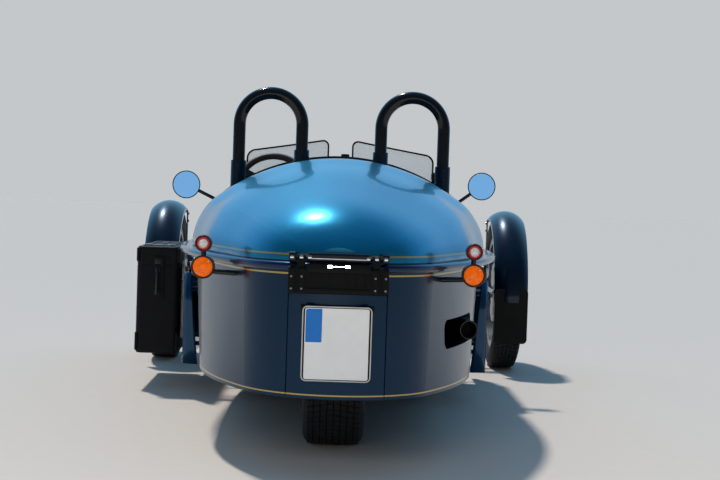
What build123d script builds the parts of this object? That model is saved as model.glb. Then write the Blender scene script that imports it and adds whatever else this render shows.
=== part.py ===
from build123d import *
import math
import os

# Three wheeled open two-seat sports car. Millimetres, +X right, +Y forward, +Z up.
# The origin is on the ground at the middle of the overall length and width.

# Driving sizes of the whole car
wheelbase = 2390.0
rear_overhang = 742.0
front_overhang = 449.0
overall_width = 1770.0
length = rear_overhang + wheelbase + front_overhang
rear_axle_y = rear_overhang - length / 2
front_axle_y = rear_axle_y + wheelbase
nose_y = front_axle_y + front_overhang
gap = 0.3                      # seating gap between pieces that are fastened face to face
moving_gap = 6.0               # running gap beside pieces that move

# Wheels and tyres
front_tyre_r = 358.0
front_tyre_w = 134.0
front_rim_r = 254.0
rear_tyre_r = 317.0
rear_tyre_w = 201.0
rear_rim_r = 190.5
guard_w = 156.0
track_x = overall_width / 2 - guard_w / 2
kingpin_offset = 82.0
kingpin_x = track_x - kingpin_offset
arm_len = 110.0
rack_y = front_axle_y - arm_len
rack_z = 345.0
rack_r = 20.0
rod_r = 9.0

# Body shell levels and stations
tail_y = rear_axle_y - 702.0
crest_y = tail_y + 1350.0
waist_z = 626.0
crown_h = 316.0
sill_z = 150.0
tail_sill_z = 237.0
flank_top_z = 600.0
wall_top_z = waist_z - gap
belt_h = 24.0
belt_top_z = 622.0
shell_t = 20.0
wall_t = 16.0
floor_t = 20.0
band_w = 74.0                  # fixed arch that carries the roll hoops
firewall_y = rear_axle_y + 1808.0
bulkhead_y = rear_axle_y + 580.0

os.makedirs("parts", exist_ok=True)


# Plan outlines of the body at one height: half width, tail point and radius, nose point and radius,
# and the start of the straight side. Each is eight tangent lines and arcs.
class Plan:
    def __init__(self, half, tail, tail_r, straight, nose, nose_r):
        self.half = half
        self.tail = tail
        self.tail_r = tail_r
        self.straight = straight
        self.front = crest_y + band_w
        self.nose = nose
        self.nose_r = nose_r
        rear_run = straight - tail - tail_r
        front_run = nose - nose_r - self.front
        self.rear_r = (half ** 2 + rear_run ** 2 - tail_r ** 2) / (2 * (half - tail_r))
        self.side_r = (half ** 2 + front_run ** 2 - nose_r ** 2) / (2 * (half - nose_r))
        self.rear_a = math.degrees(math.atan2(rear_run, self.rear_r - half))
        self.front_a = math.degrees(math.atan2(front_run, self.side_r - half))

    def inset(self, t):
        return Plan(self.half - t, self.tail + t, self.tail_r - t, self.straight, self.nose - t,
                    self.nose_r - t)

    def width_at(self, y):
        """Half width of the outline at station y."""
        tail_end = self.tail + self.tail_r * (1 - math.sin(math.radians(self.rear_a)))
        nose_end = self.nose - self.nose_r * (1 - math.sin(math.radians(self.front_a)))
        if y < tail_end:
            return math.sqrt(max(self.tail_r ** 2 - (y - self.tail - self.tail_r) ** 2, 1.0))
        if y < self.straight:
            return self.half - self.rear_r + math.sqrt(self.rear_r ** 2 - (self.straight - y) ** 2)
        if y < self.front:
            return self.half
        if y < nose_end:
            return self.half - self.side_r + math.sqrt(self.side_r ** 2 - (y - self.front) ** 2)
        return math.sqrt(max(self.nose_r ** 2 - (y - self.nose + self.nose_r) ** 2, 1.0))

    def face(self):
        with BuildSketch() as outline:
            with BuildLine():
                CenterArc((self.half - self.side_r, self.front), self.side_r, 0, self.front_a)
                CenterArc((0, self.nose - self.nose_r), self.nose_r, self.front_a, 180 - 2 * self.front_a)
                CenterArc((self.side_r - self.half, self.front), self.side_r, 180 - self.front_a,
                          self.front_a)
                Line((-self.half, self.front), (-self.half, self.straight))
                CenterArc((self.rear_r - self.half, self.straight), self.rear_r, 180, self.rear_a)
                CenterArc((0, self.tail + self.tail_r), self.tail_r, 180 + self.rear_a,
                          180 - 2 * self.rear_a)
                CenterArc((self.half - self.rear_r, self.straight), self.rear_r, -self.rear_a, self.rear_a)
                Line((self.half, self.straight), (self.half, self.front))
            make_face()
        return outline.sketch


flank_top = Plan(505.0, tail_y, 300.0, crest_y, nose_y - 12, 214.0)
flank_low = Plan(434.0, tail_y + 10, 312.0, tail_y + 720, nose_y - 40, 190.0)
belt_plan = Plan(566.0, tail_y - 20, 318.0, crest_y, nose_y, 232.0)
crown_plan = Plan(516.0, tail_y + 2, 300.0, crest_y, nose_y - 6, 220.0)


def flank(t, z0, z1):
    """Tapered body below the waist, set in by t, from z0 up to z1."""
    low, top = flank_low.inset(t), flank_top.inset(t)
    with BuildPart() as part:
        with BuildSketch(Plane.XY.offset(sill_z)):
            add(low.face())
        with BuildSketch(Plane.XY.offset(flank_top_z)):
            add(top.face())
        loft(ruled=True)
        with BuildSketch(Plane.XY.offset(flank_top_z)):
            add(top.face())
        extrude(amount=wall_top_z - flank_top_z)
        with Locations((0, 0, (z0 + z1) / 2)):
            Box(3 * overall_width, 3 * length, z1 - z0, mode=Mode.INTERSECT)
    return part.part


# Upper body: similar arches of three arcs, one at each station
band_rear_y = crest_y - band_w / 2
band_front_y = crest_y + band_w / 2
tail_turns = (6.0, 14.0, 24.0, 36.0, 48.0, 60.0, 72.0, 81.0, 90.0)
# Columns: station y, crown height over the waist.
cowl_stations = [
    (band_rear_y, 316.0),
    (crest_y + 260, 312.2),
    (crest_y + 560, 302.9),
    (crest_y + 860, 290.0),
    (firewall_y, 274.0),
]
bonnet_stations = [
    (firewall_y, 274.0),
    (crest_y + 1400, 250.0),
    (crest_y + 1640, 217.0),
    (crest_y + 1860, 176.0),
    (crest_y + 2030, 134.0),
    (nose_y - 71, 98.0),
    (nose_y - 21, 56.0),
]
shoulder = 0.69                # radius of an arch's shoulder over its crown height


def arch(y, a, c):
    """Arch of three tangent arcs over the waist line at station y."""
    r_side = shoulder * min(a, c)
    r_top = (a ** 2 + c ** 2 - 2 * a * r_side) / (2 * (c - r_side))
    turn = math.degrees(math.atan2(r_top - c, a - r_side))
    with BuildSketch(Plane.XZ.offset(-y)) as outline:
        with BuildLine():
            Line((-a, waist_z), (a, waist_z))
            CenterArc((a - r_side, waist_z), r_side, 0, turn)
            CenterArc((0, waist_z + c - r_top), r_top, turn, 180 - 2 * turn)
            CenterArc((r_side - a, waist_z), r_side, 180 - turn, turn)
        make_face()
    return outline.sketch


def tail_crown(t):
    """Upper body behind the crest, set in by t."""
    plan = crown_plan.inset(t)
    arches = []
    for turn in tail_turns:
        y = crest_y - (crest_y - plan.tail) * math.cos(math.radians(turn))
        a = plan.width_at(y)
        arches.append(arch(y, a, (crown_h - t) * a / plan.half))
    with BuildPart() as part:
        loft(arches)
    return part.part


def front_crown(stations, t):
    """Upper body through the stations ahead of the crest, set in by t."""
    plan = crown_plan.inset(t)
    with BuildPart() as part:
        loft([arch(y, plan.width_at(y), c - t) for y, c in stations])
    return part.part


def tube(points, radius, corner=None):
    """Round bar along straight runs joined by arcs."""
    with BuildPart() as part:
        with BuildLine() as path:
            if corner and len(points) > 2:
                FilletPolyline(*points, radius=corner)
            else:
                Polyline(*points)
        with BuildSketch(Plane(origin=path.line @ 0, z_dir=path.line % 0)):
            Circle(radius)
        sweep(path=path.line)
    return part.part


def save(part, name):
    part.label = name
    export_step(part, f"parts/{name}.step")


def box_between(x0, x1, y0, y1, z0, z1, mode=Mode.ADD):
    with Locations(((x0 + x1) / 2, (y0 + y1) / 2, (z0 + z1) / 2)):
        Box(abs(x1 - x0), abs(y1 - y0), abs(z1 - z0), mode=mode)


def ra(y):
    """Station measured forward from the rear axle."""
    return rear_axle_y + y


def slab(x0, x1, y0, y1, z0, z1):
    """Block between two corners, made apart from any part."""
    with BuildPart() as part:
        box_between(x0, x1, y0, y1, z0, z1)
    return part.part


def level_rod(x0, x1, y, z, r):
    """Round bar across the car."""
    return tube([(x0, y, z), (x1, y, z)], r)


wide = overall_width
skin_grown = flank(-gap, sill_z, wall_top_z)
tail_grown = tail_crown(-gap)
cowl_grown = front_crown(cowl_stations, -gap)
bonnet_grown = front_crown(bonnet_stations, -gap)

# Tub: tapered side walls, floor, bulkheads and the covered slot for the rear wheel
slot_half = 142.0
slot_front = 545.0
slot_rear = -385.0
cover_top_z = 665.0
cover_t = 12.0
seam_x = 140.0
intake_w = 300.0
intake_h = 150.0
intake_z = 430.0


def under_tail(lift):
    """Wedge of air below the tail, raised by lift."""
    with BuildPart() as part:
        with BuildSketch(Plane.YZ):
            with BuildLine():
                Polyline(
                    (tail_y - 50, sill_z - 60),
                    (tail_y - 50, tail_sill_z + lift),
                    (ra(150), tail_sill_z + lift),
                    (ra(450), sill_z + lift),
                    (ra(450), sill_z - 60),
                    close=True,
                )
            make_face()
        extrude(amount=wide / 2, both=True)
    return part.part


tub_outer = flank(0, sill_z, wall_top_z)
tub_hollow = flank(wall_t, sill_z + floor_t, waist_z + 50)
tub_seam_y = bulkhead_y - 20
recess_y0 = ra(-407)
recess_y1 = ra(-30)
recess_z = 403.0
recess_h = 88.0
recess_x0 = 300.0
recess_x1 = 334.0
recess_wall = 6.0


def recess(grow):
    """Rounded scoop in the right flank round the tail pipe, grown inward."""
    with BuildPart() as scoop:
        with BuildSketch(Plane.YZ):
            with Locations(((recess_y0 + recess_y1) / 2, recess_z)):
                RectangleRounded(recess_y1 - recess_y0 + 2 * grow, recess_h + 2 * grow, 28 + grow)
        extrude(amount=wide / 2)
        with BuildSketch(Plane.XY):
            with BuildLine():
                Polyline(
                    (recess_x0 - grow, recess_y0 - 20),
                    (recess_x1 - grow, recess_y1 + 20),
                    (wide, recess_y1 + 20),
                    (wide, recess_y0 - 20),
                    close=True,
                )
            make_face()
        extrude(amount=2 * recess_z, mode=Mode.INTERSECT)
    return scoop.part


with BuildPart() as tail_tub:
    add(tub_outer)
    add(under_tail(0), mode=Mode.SUBTRACT)
    add(tub_hollow - under_tail(floor_t), mode=Mode.SUBTRACT)
    box_between(-slot_half - cover_t, slot_half + cover_t, ra(slot_rear) - cover_t, tub_seam_y - 10,
                tail_sill_z - 80, cover_top_z)
    add(recess(recess_wall) & flank(0, sill_z, wall_top_z))
    add(under_tail(0), mode=Mode.SUBTRACT)
    add(recess(0), mode=Mode.SUBTRACT)
    box_between(-slot_half, slot_half, ra(slot_rear), ra(slot_front), 0, cover_top_z - cover_t,
                mode=Mode.SUBTRACT)
    for side in (-1, 1):
        seam = slab(side * seam_x - 1.5, side * seam_x + 1.5, tail_y - 20, tail_y + 120, 200,
                    belt_top_z - belt_h - 3)
        add(seam - flank(3.0, sill_z, wall_top_z), mode=Mode.SUBTRACT)
    box_between(-wide, wide, tub_seam_y - gap, nose_y + 100, 0, 2000, mode=Mode.SUBTRACT)

with BuildPart() as tub:
    add(tub_outer)
    add(tub_hollow, mode=Mode.SUBTRACT)
    add(slab(-wide / 2, wide / 2, tub_seam_y, bulkhead_y, sill_z, 800) & tub_outer)
    add(slab(-wide / 2, wide / 2, firewall_y - 16, firewall_y, sill_z, 800) & tub_outer)
    with BuildSketch(Plane.XZ.offset(-nose_y - 50)):
        with Locations((0, intake_z)):
            RectangleRounded(intake_w, intake_h, intake_h / 2 - 5)
    extrude(amount=190, mode=Mode.SUBTRACT)
    add(level_rod(-wide / 2, wide / 2, rack_y, rack_z, rack_r + gap), mode=Mode.SUBTRACT)
    box_between(-wide, wide, tail_y - 100, tub_seam_y, 0, 2000, mode=Mode.SUBTRACT)
save(tub.part, "tub")

# Belt moulding round the waist
with BuildPart() as belt_rail:
    with BuildSketch(Plane.XY.offset(belt_top_z - belt_h)):
        add(belt_plan.face())
    extrude(amount=belt_h)
    fillet(belt_rail.edges().group_by(Axis.Z)[-1] + belt_rail.edges().group_by(Axis.Z)[0], belt_h / 2 - 2)
    with BuildSketch(Plane.XY.offset(belt_top_z - belt_h - 5)):
        add(flank_top.inset(-gap - 0.2).face())
    extrude(amount=belt_h + 10, mode=Mode.SUBTRACT)
save(belt_rail.part, "belt_rail")

# Upper body: hinged tail deck, fixed cockpit surround and bonnet
deck_front_y = band_rear_y - moving_gap
scuttle_y = ra(1235)

with BuildPart() as tail_deck:
    add(tail_crown(0) - tail_crown(shell_t))
    box_between(-wide, wide, deck_front_y, crest_y + 900, 0, 2000, mode=Mode.SUBTRACT)
save(tail_deck.part, "tail_deck")

cockpit_w = 870.0
cockpit_r = 110.0


def cockpit_prism(grow):
    """Upright prism of the cockpit's opening, grown outward."""
    with BuildPart() as block:
        with BuildSketch(Plane.XY.offset(waist_z + 60)):
            with Locations((0, (band_front_y + scuttle_y) / 2)):
                RectangleRounded(cockpit_w + 2 * grow, scuttle_y - band_front_y + 2 * grow, cockpit_r + grow)
        extrude(amount=500)
    return block.part


with BuildPart() as cockpit_surround:
    add(front_crown(cowl_stations, 0) - front_crown(cowl_stations, shell_t))
    add(cockpit_prism(0), mode=Mode.SUBTRACT)
save(cockpit_surround.part, "cockpit_surround")

# Padded roll round the edge of the cockpit, cut back at the flanges of the hoops' feet
hoop_x = 260.0
hoop_bend = 115.0
flange_r = 33.0
roll_w = 13.0
roll_h = 11.0
with BuildPart() as coaming:
    add(front_crown(cowl_stations, -roll_h))
    add(cowl_grown, mode=Mode.SUBTRACT)
    add(cockpit_prism(roll_w), mode=Mode.INTERSECT)
    add(cockpit_prism(-roll_w), mode=Mode.SUBTRACT)
    for side in (-1, 1):
        for foot in (-hoop_bend, hoop_bend):
            with Locations((side * hoop_x + foot, crest_y, waist_z + crown_h)):
                Cylinder(flange_r + gap, 600, mode=Mode.SUBTRACT)
save(coaming.part, "coaming")

with BuildPart() as bonnet:
    add(front_crown(bonnet_stations, 0) - front_crown(bonnet_stations, shell_t))
    box_between(-wide, wide, firewall_y - 5, firewall_y + 3, 0, 2000, mode=Mode.SUBTRACT)
save(bonnet.part, "bonnet")

# Roll hoops, with the sleeves that clamp their feet to the fixed band
hoop_r = 22.5
hoop_arc_z = 1060.0
sleeve_r = 28.0
flange_t = 8.0
foot_z = 700.0
# Columns: side of the hoop, top of its sleeve.
sleeve_tops = ((-1, 970.0), (1, 925.0))
with BuildPart() as hoops:
    for side in (-1, 1):
        with BuildLine(Plane.XZ.offset(-crest_y)) as hoop_path:
            Line((side * hoop_x + hoop_bend, foot_z), (side * hoop_x + hoop_bend, hoop_arc_z))
            CenterArc((side * hoop_x, hoop_arc_z), hoop_bend, 0, 180)
            Line((side * hoop_x - hoop_bend, hoop_arc_z), (side * hoop_x - hoop_bend, foot_z))
        with BuildSketch(Plane(origin=hoop_path.line @ 0, z_dir=(0, 0, 1))):
            Circle(hoop_r)
        sweep(path=hoop_path.line)
    add(cowl_grown, mode=Mode.SUBTRACT)
save(hoops.part, "hoops")

flange_skin = front_crown(cowl_stations, -flange_t)
with BuildPart() as hoop_sleeves:
    for side in (-1, 1):
        for outer, top in sleeve_tops:
            with BuildSketch(Plane.XY.offset(foot_z)):
                with Locations((side * (hoop_x + outer * hoop_bend), crest_y)):
                    Circle(flange_r)
            extrude(amount=top - foot_z)
    add(flange_skin, mode=Mode.INTERSECT)
    for side in (-1, 1):
        for outer, top in sleeve_tops:
            with BuildSketch(Plane.XY.offset(foot_z)):
                with Locations((side * (hoop_x + outer * hoop_bend), crest_y)):
                    Circle(sleeve_r)
            extrude(amount=top - foot_z)
            with BuildSketch(Plane.XY.offset(foot_z)):
                with Locations((side * (hoop_x + outer * hoop_bend), crest_y)):
                    Circle(hoop_r + gap)
            extrude(amount=top - foot_z + 1, mode=Mode.SUBTRACT)
    add(cowl_grown, mode=Mode.SUBTRACT)
save(hoop_sleeves.part, "hoop_sleeves")

# Windscreens: two panes bent round upright cylinders, each in a thin rim
screen_r = 620.0
pane_t = 5.0
rim_w = 7.0
screen_inner_x = 47.0
screen_outer_x = 385.0
screen_inner_top = 1038.0
screen_outer_top = 980.0
screen_mid_x = 120.0
screen_y = ra(1380)
rear_reach = 500.0
screen_round = 25.0
screen_outer_round = 40.0


def screen_prism(side, grow):
    """Front outline of one screen, pushed rearward through its bend."""
    with BuildPart() as block:
        with BuildSketch(Plane.XZ.offset(-screen_y - 100)) as outline:
            with BuildLine():
                Polyline(
                    (side * screen_inner_x, 860),
                    (side * screen_inner_x, screen_inner_top),
                    (side * screen_outer_x, screen_outer_top),
                    (side * screen_outer_x, 780),
                    close=True,
                )
            make_face()
            fillet(outline.vertices().group_by(Axis.Y)[-1], screen_round)
            outer_top = outline.vertices().filter_by_position(Axis.Y, screen_outer_top - 1,
                                                              screen_outer_top + 1)
            fillet(outer_top, screen_outer_round)
            offset(amount=grow, kind=Kind.INTERSECTION)
        extrude(amount=rear_reach)
    return block.part


def screen_bend(side, inner, outer):
    """Upright curved wall that a screen is cut from."""
    with BuildPart() as block:
        with BuildSketch(Plane.XY.offset(foot_z)):
            with Locations((side * screen_mid_x, screen_y - screen_r)):
                Circle(outer)
                Circle(inner, mode=Mode.SUBTRACT)
        extrude(amount=rear_reach)
    return block.part


with BuildPart() as screens:
    for side in (-1, 1):
        add(screen_prism(side, -rim_w - gap) & screen_bend(side, screen_r - pane_t, screen_r))
    add(cowl_grown, mode=Mode.SUBTRACT)
save(screens.part, "screens")
with BuildPart() as screen_rims:
    for side in (-1, 1):
        ring = screen_prism(side, 0) - screen_prism(side, -rim_w)
        add(ring & screen_bend(side, screen_r - pane_t - 2, screen_r + 2))
    add(cowl_grown, mode=Mode.SUBTRACT)
save(screen_rims.part, "screen_rims")

# Clamps at the screens' outer edges, their feet, and the cap between the screens
clamp_x = screen_outer_x + 4
clamp_z = 895.0
clamp_w = 26.0
clamp_h = 34.0
clamp_t = 28.0
clamp_rod_r = 7.0
foot_w = 30.0
foot_t = 16.0
foot_rise = 18.0
cap_r = 15.0


def screen_front(x):
    """Station of a screen's front face at a distance out from the middle of the car."""
    return screen_y - screen_r + math.sqrt(screen_r ** 2 - (x - screen_mid_x) ** 2)


def screen_clamp(side):
    """Clamp at a screen's outer edge, on a rod that stands on the scuttle."""
    edge = screen_front(screen_outer_x)
    with BuildPart() as clamp:
        with BuildSketch(Plane.XZ.offset(-edge - clamp_t / 2)):
            with Locations((side * clamp_x, clamp_z)):
                RectangleRounded(clamp_w, clamp_h, clamp_w / 3)
        extrude(amount=clamp_t)
        add(tube([(side * clamp_x, edge, clamp_z), (side * clamp_x, edge, foot_z)], clamp_rod_r))
    return clamp.part


with BuildPart() as scuttle_fittings:
    for side in (-1, 1):
        for x in (screen_inner_x + 63, screen_outer_x - 85):
            with Locations((side * x, screen_front(x) + foot_t - 2, 860)):
                Box(foot_w, foot_t, 160)
    with Locations((0, screen_y - 50, 880)):
        Cylinder(cap_r, 120)
    add(front_crown(cowl_stations, -foot_rise), mode=Mode.INTERSECT)
    add(screen_clamp(-1))
    add(screen_clamp(1))
    add(cowl_grown, mode=Mode.SUBTRACT)
    add(screens.part, mode=Mode.SUBTRACT)
    add(screen_rims.part, mode=Mode.SUBTRACT)
save(scuttle_fittings.part, "scuttle_fittings")

# Dashboard across the scuttle, with the bearing that hangs the column
dash_y = scuttle_y + 30
dash_t = 18.0
dash_low_z = waist_z + 60
column_tilt = 25.0
column_r = 14.0
column_fit = 0.05
wheel_x = -265.0
wheel_y = ra(1123)
wheel_z = 830.0
rim_mid_r = 138.0
rim_bar_r = 12.0
bearing_r = 25.0
bearing_len = 50.0
bracket_w = 40.0
tilt = math.radians(column_tilt)
steer_plane = Plane(origin=(wheel_x, wheel_y, wheel_z), x_dir=(1, 0, 0),
                    z_dir=(0, -math.cos(tilt), math.sin(tilt)))
bearing_drop = (dash_y + dash_t + 8 - wheel_y) / math.cos(tilt)
bearing_z = wheel_z - bearing_drop * math.sin(tilt)
with BuildPart() as dashboard:
    add(slab(-wide, wide, dash_y, dash_y + dash_t, dash_low_z, 1000)
        & front_crown(cowl_stations, shell_t + gap))
    box_between(wheel_x - bracket_w / 2, wheel_x + bracket_w / 2, dash_y, dash_y + bearing_len,
                bearing_z, dash_low_z + 140)
    with BuildSketch(steer_plane.offset(-bearing_drop)):
        Circle(bearing_r)
    extrude(amount=-bearing_len)
    with BuildSketch(steer_plane):
        Circle(column_r + column_fit)
    extrude(amount=-bearing_drop - 2 * bearing_len, mode=Mode.SUBTRACT)
save(dashboard.part, "dashboard")

# Round gauges and a row of switches on the dashboard
gauge_x = 62.0
gauge_z = 800.0
gauge_r = 46.0
gauge_t = 14.0
gauge_lip = 5.0
gauge_sink = 4.0
switch_z = 722.0
switch_r = 8.0
switch_t = 16.0
switch_pitch = 34.0
switch_count = 6
dash_face = Plane.XZ.offset(-dash_y + gap)
with BuildPart() as gauges:
    with BuildSketch(dash_face):
        with Locations((-gauge_x, gauge_z), (gauge_x, gauge_z)):
            Circle(gauge_r)
    extrude(amount=gauge_t)
    with BuildSketch(dash_face.offset(gauge_t)):
        with Locations((-gauge_x, gauge_z), (gauge_x, gauge_z)):
            Circle(gauge_r - gauge_lip)
    extrude(amount=-gauge_sink, mode=Mode.SUBTRACT)
    with BuildSketch(dash_face):
        with Locations((0, switch_z)):
            with GridLocations(switch_pitch, 1, switch_count, 1):
                Circle(switch_r)
    extrude(amount=switch_t)
save(gauges.part, "gauges")

# Steering wheel and its column
column_run = 560.0
spoke_w = 26.0
spoke_t = 6.0
hub_plate_r = 36.0
horn_r = 28.0
horn_t = 14.0
column_axis = Axis(steer_plane.origin, steer_plane.z_dir)
with BuildPart() as steering_wheel:
    with BuildSketch(Plane(origin=steer_plane.origin, x_dir=steer_plane.x_dir, z_dir=steer_plane.y_dir)):
        with Locations((rim_mid_r, 0)):
            Circle(rim_bar_r)
    revolve(axis=column_axis)
    with BuildSketch(steer_plane.offset(-spoke_t / 2)):
        Circle(hub_plate_r)
        with PolarLocations(rim_mid_r / 2, 3, start_angle=-90):
            Rectangle(rim_mid_r, spoke_w)
    extrude(amount=spoke_t)
    with BuildSketch(steer_plane):
        Circle(horn_r)
    extrude(amount=horn_t)
    fillet(steering_wheel.edges().filter_by(GeomType.CIRCLE).sort_by(column_axis)[-1], horn_t / 3)
    with BuildSketch(steer_plane):
        Circle(column_r)
    extrude(amount=-column_run)
save(steering_wheel.part, "steering_wheel")

# Seats: one padded shape each, cushion and back
seat_x = 215.0
seat_w = 370.0
seat_base_z = sill_z + floor_t + gap
seat_front_y = ra(1180)
seat_front_z = 330.0
seat_rear_y = ra(800)
seat_rear_z = 290.0
back_top_z = 720.0
back_rear_y = ra(615)
back_t = 100.0
seat_round = 24.0
for name, side in (("left", -1), ("right", 1)):
    with BuildPart() as seat:
        with BuildSketch(Plane.YZ.offset(side * seat_x - seat_w / 2)):
            with BuildLine():
                Polyline(
                    (seat_rear_y - 10, seat_base_z),
                    (seat_front_y, seat_base_z),
                    (seat_front_y, seat_front_z),
                    (seat_rear_y, seat_rear_z),
                    (back_rear_y + back_t, back_top_z),
                    (back_rear_y, back_top_z),
                    (back_rear_y, seat_front_z + 70),
                    close=True,
                )
            make_face()
        extrude(amount=seat_w)
        fillet(seat.edges().filter_by(Axis.X), seat_round)
    save(seat.part, f"seat_{name}")

# Pedals on the firewall, the gear lever and hand brake on the tunnel between the seats
tunnel_half = 26.0
tunnel_z = 300.0
firewall_face_y = firewall_y - wall_t - gap
with BuildPart() as tunnel:
    box_between(-tunnel_half, tunnel_half, bulkhead_y + gap, firewall_face_y, seat_base_z, tunnel_z)
    fillet(tunnel.edges().filter_by(Axis.Y).group_by(Axis.Z)[-1], tunnel_half / 2)
save(tunnel.part, "tunnel")
pedal_w = 48.0
pedal_h = 80.0
pedal_t = 8.0
pedal_z = 290.0
pedal_y = firewall_face_y - 90
pedal_pitch = 65.0
pedal_rod_r = 7.0
pedal_root_z = 470.0
lever_r = 8.0
lever_lean = 25.0
knob_r = 21.0
# Columns: station of a lever's foot, height of its knob.
levers = ((ra(1330), 470.0), (ra(1240), 440.0))
with BuildPart() as controls:
    for step in (-1, 0, 1):
        x = wheel_x + step * pedal_pitch
        rod_y = pedal_y + pedal_t / 2
        box_between(x - pedal_w / 2, x + pedal_w / 2, pedal_y, pedal_y + pedal_t,
                    pedal_z - pedal_h / 2, pedal_z + pedal_h / 2)
        fillet(controls.edges().filter_by(Axis.Y).sort_by(Axis.X)[-4:], 8)
        rod = [(x, rod_y, pedal_z), (x, rod_y, pedal_root_z - 50), (x, firewall_face_y, pedal_root_z)]
        add(tube(rod, pedal_rod_r, 30))
    for y, top in levers:
        add(tube([(0, y, tunnel_z - 5), (0, y - lever_lean, top)], lever_r))
        with Locations((0, y - lever_lean, top)):
            Sphere(knob_r)
    box_between(-wide / 2, 0, firewall_face_y, firewall_y + 10, pedal_root_z - 70, pedal_root_z + 50,
                mode=Mode.SUBTRACT)
    box_between(-tunnel_half, tunnel_half, ra(1150), ra(1400), tunnel_z - 20, tunnel_z + gap,
                mode=Mode.SUBTRACT)
save(controls.part, "controls")

# Wheels. Columns: name, x, y, tyre radius, tyre width, rim radius, spokes, brake side, brake disc radius.
front_disc_r = 140.0
rear_disc_r = 120.0
wheel_table = [
    ("fl", -track_x, front_axle_y, front_tyre_r, front_tyre_w, front_rim_r, 12, 1, front_disc_r),
    ("fr", track_x, front_axle_y, front_tyre_r, front_tyre_w, front_rim_r, 12, -1, front_disc_r),
    ("rear", 0.0, rear_axle_y, rear_tyre_r, rear_tyre_w, rear_rim_r, 10, 1, rear_disc_r),
]
hub_r = 15.0
hub_fit = 0.05
boss_r = 52.0
boss_half = 36.0
flange_in = 14.0
bead_in = 21.0
tread_edge = 34.0
barrel_t = 22.0
spoke_half = 8.0
disc_in = 40.0
disc_t = 6.0
vent_r = 4.0
vent_count = 18
caliper_w = 50.0
caliper_len = 74.0
caliper_h = 64.0
caliper_wall = 13.0


def caliper(x, y, z, side, disc_r, reach):
    """Brake caliper ahead of a wheel's axle, slotted round the edge of its disc."""
    start = disc_in - moving_gap - 10
    edge = y + disc_r + moving_gap + caliper_wall
    with BuildPart() as body:
        box_between(x + side * start, x + side * reach, edge - caliper_len, edge, z - caliper_h / 2,
                    z + caliper_h / 2)
        fillet(body.edges().filter_by(Axis.X), 10)
        box_between(x + side * (disc_in - moving_gap), x + side * (disc_in + disc_t + moving_gap),
                    edge - caliper_len - 1, edge - caliper_wall, z - caliper_h, z + caliper_h,
                    mode=Mode.SUBTRACT)
    return body.part


for name, x, y, r, w, rim_r, spokes, brake_side, disc_r in wheel_table:
    disc = Plane(origin=(x, y, r), x_dir=(0, 1, 0), z_dir=(1, 0, 0))
    section = Plane(origin=(x, y, r), x_dir=(1, 0, 0), z_dir=(0, 0, 1))
    axle = Axis((x, y, r), (1, 0, 0))
    half = w / 2
    with BuildPart() as tyre:
        with BuildSketch(section) as profile:
            with BuildLine():
                Polyline(
                    (bead_in - half + 1, rim_r + gap),
                    (half - bead_in - 1, rim_r + gap),
                    (half, (r + rim_r) / 2 - 4),
                    (half - 14, r - 9),
                    (half - tread_edge, r),
                    (tread_edge - half, r),
                    (14 - half, r - 9),
                    (-half, (r + rim_r) / 2 - 4),
                    close=True,
                )
            make_face()
            fillet(profile.vertices().sort_by(Axis.Y)[2:], 14)
        revolve(axis=axle)
    save(tyre.part, f"tyre_{name}")
    with BuildPart() as rim:
        with BuildSketch(section):
            with BuildLine():
                Polyline(
                    (flange_in - half, rim_r - barrel_t),
                    (half - flange_in, rim_r - barrel_t),
                    (half - flange_in, rim_r + 8),
                    (half - bead_in, rim_r + 8),
                    (half - bead_in, rim_r),
                    (bead_in - half, rim_r),
                    (bead_in - half, rim_r + 8),
                    (flange_in - half, rim_r + 8),
                    close=True,
                )
            make_face()
        revolve(axis=axle)
        with BuildSketch(disc):
            Circle(rim_r - barrel_t + 7)
            with PolarLocations(rim_r * 0.56, spokes):
                SlotCenterToCenter(rim_r * 0.36, rim_r * 0.17, mode=Mode.SUBTRACT)
        extrude(amount=spoke_half, both=True)
        with BuildSketch(disc):
            Circle(boss_r)
        extrude(amount=boss_half, both=True)
        with BuildSketch(disc):
            Circle(boss_r)
        extrude(amount=brake_side * (disc_in + disc_t))
        with BuildSketch(disc.offset(brake_side * disc_in)):
            Circle(disc_r)
            with PolarLocations(disc_r * 0.78, vent_count):
                Circle(vent_r, mode=Mode.SUBTRACT)
        extrude(amount=brake_side * disc_t)
        with BuildSketch(disc):
            Circle(hub_r + hub_fit)
        extrude(amount=w, both=True, mode=Mode.SUBTRACT)
        add(tyre.part, mode=Mode.SUBTRACT)
    save(rim.part, f"rim_{name}")

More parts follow.
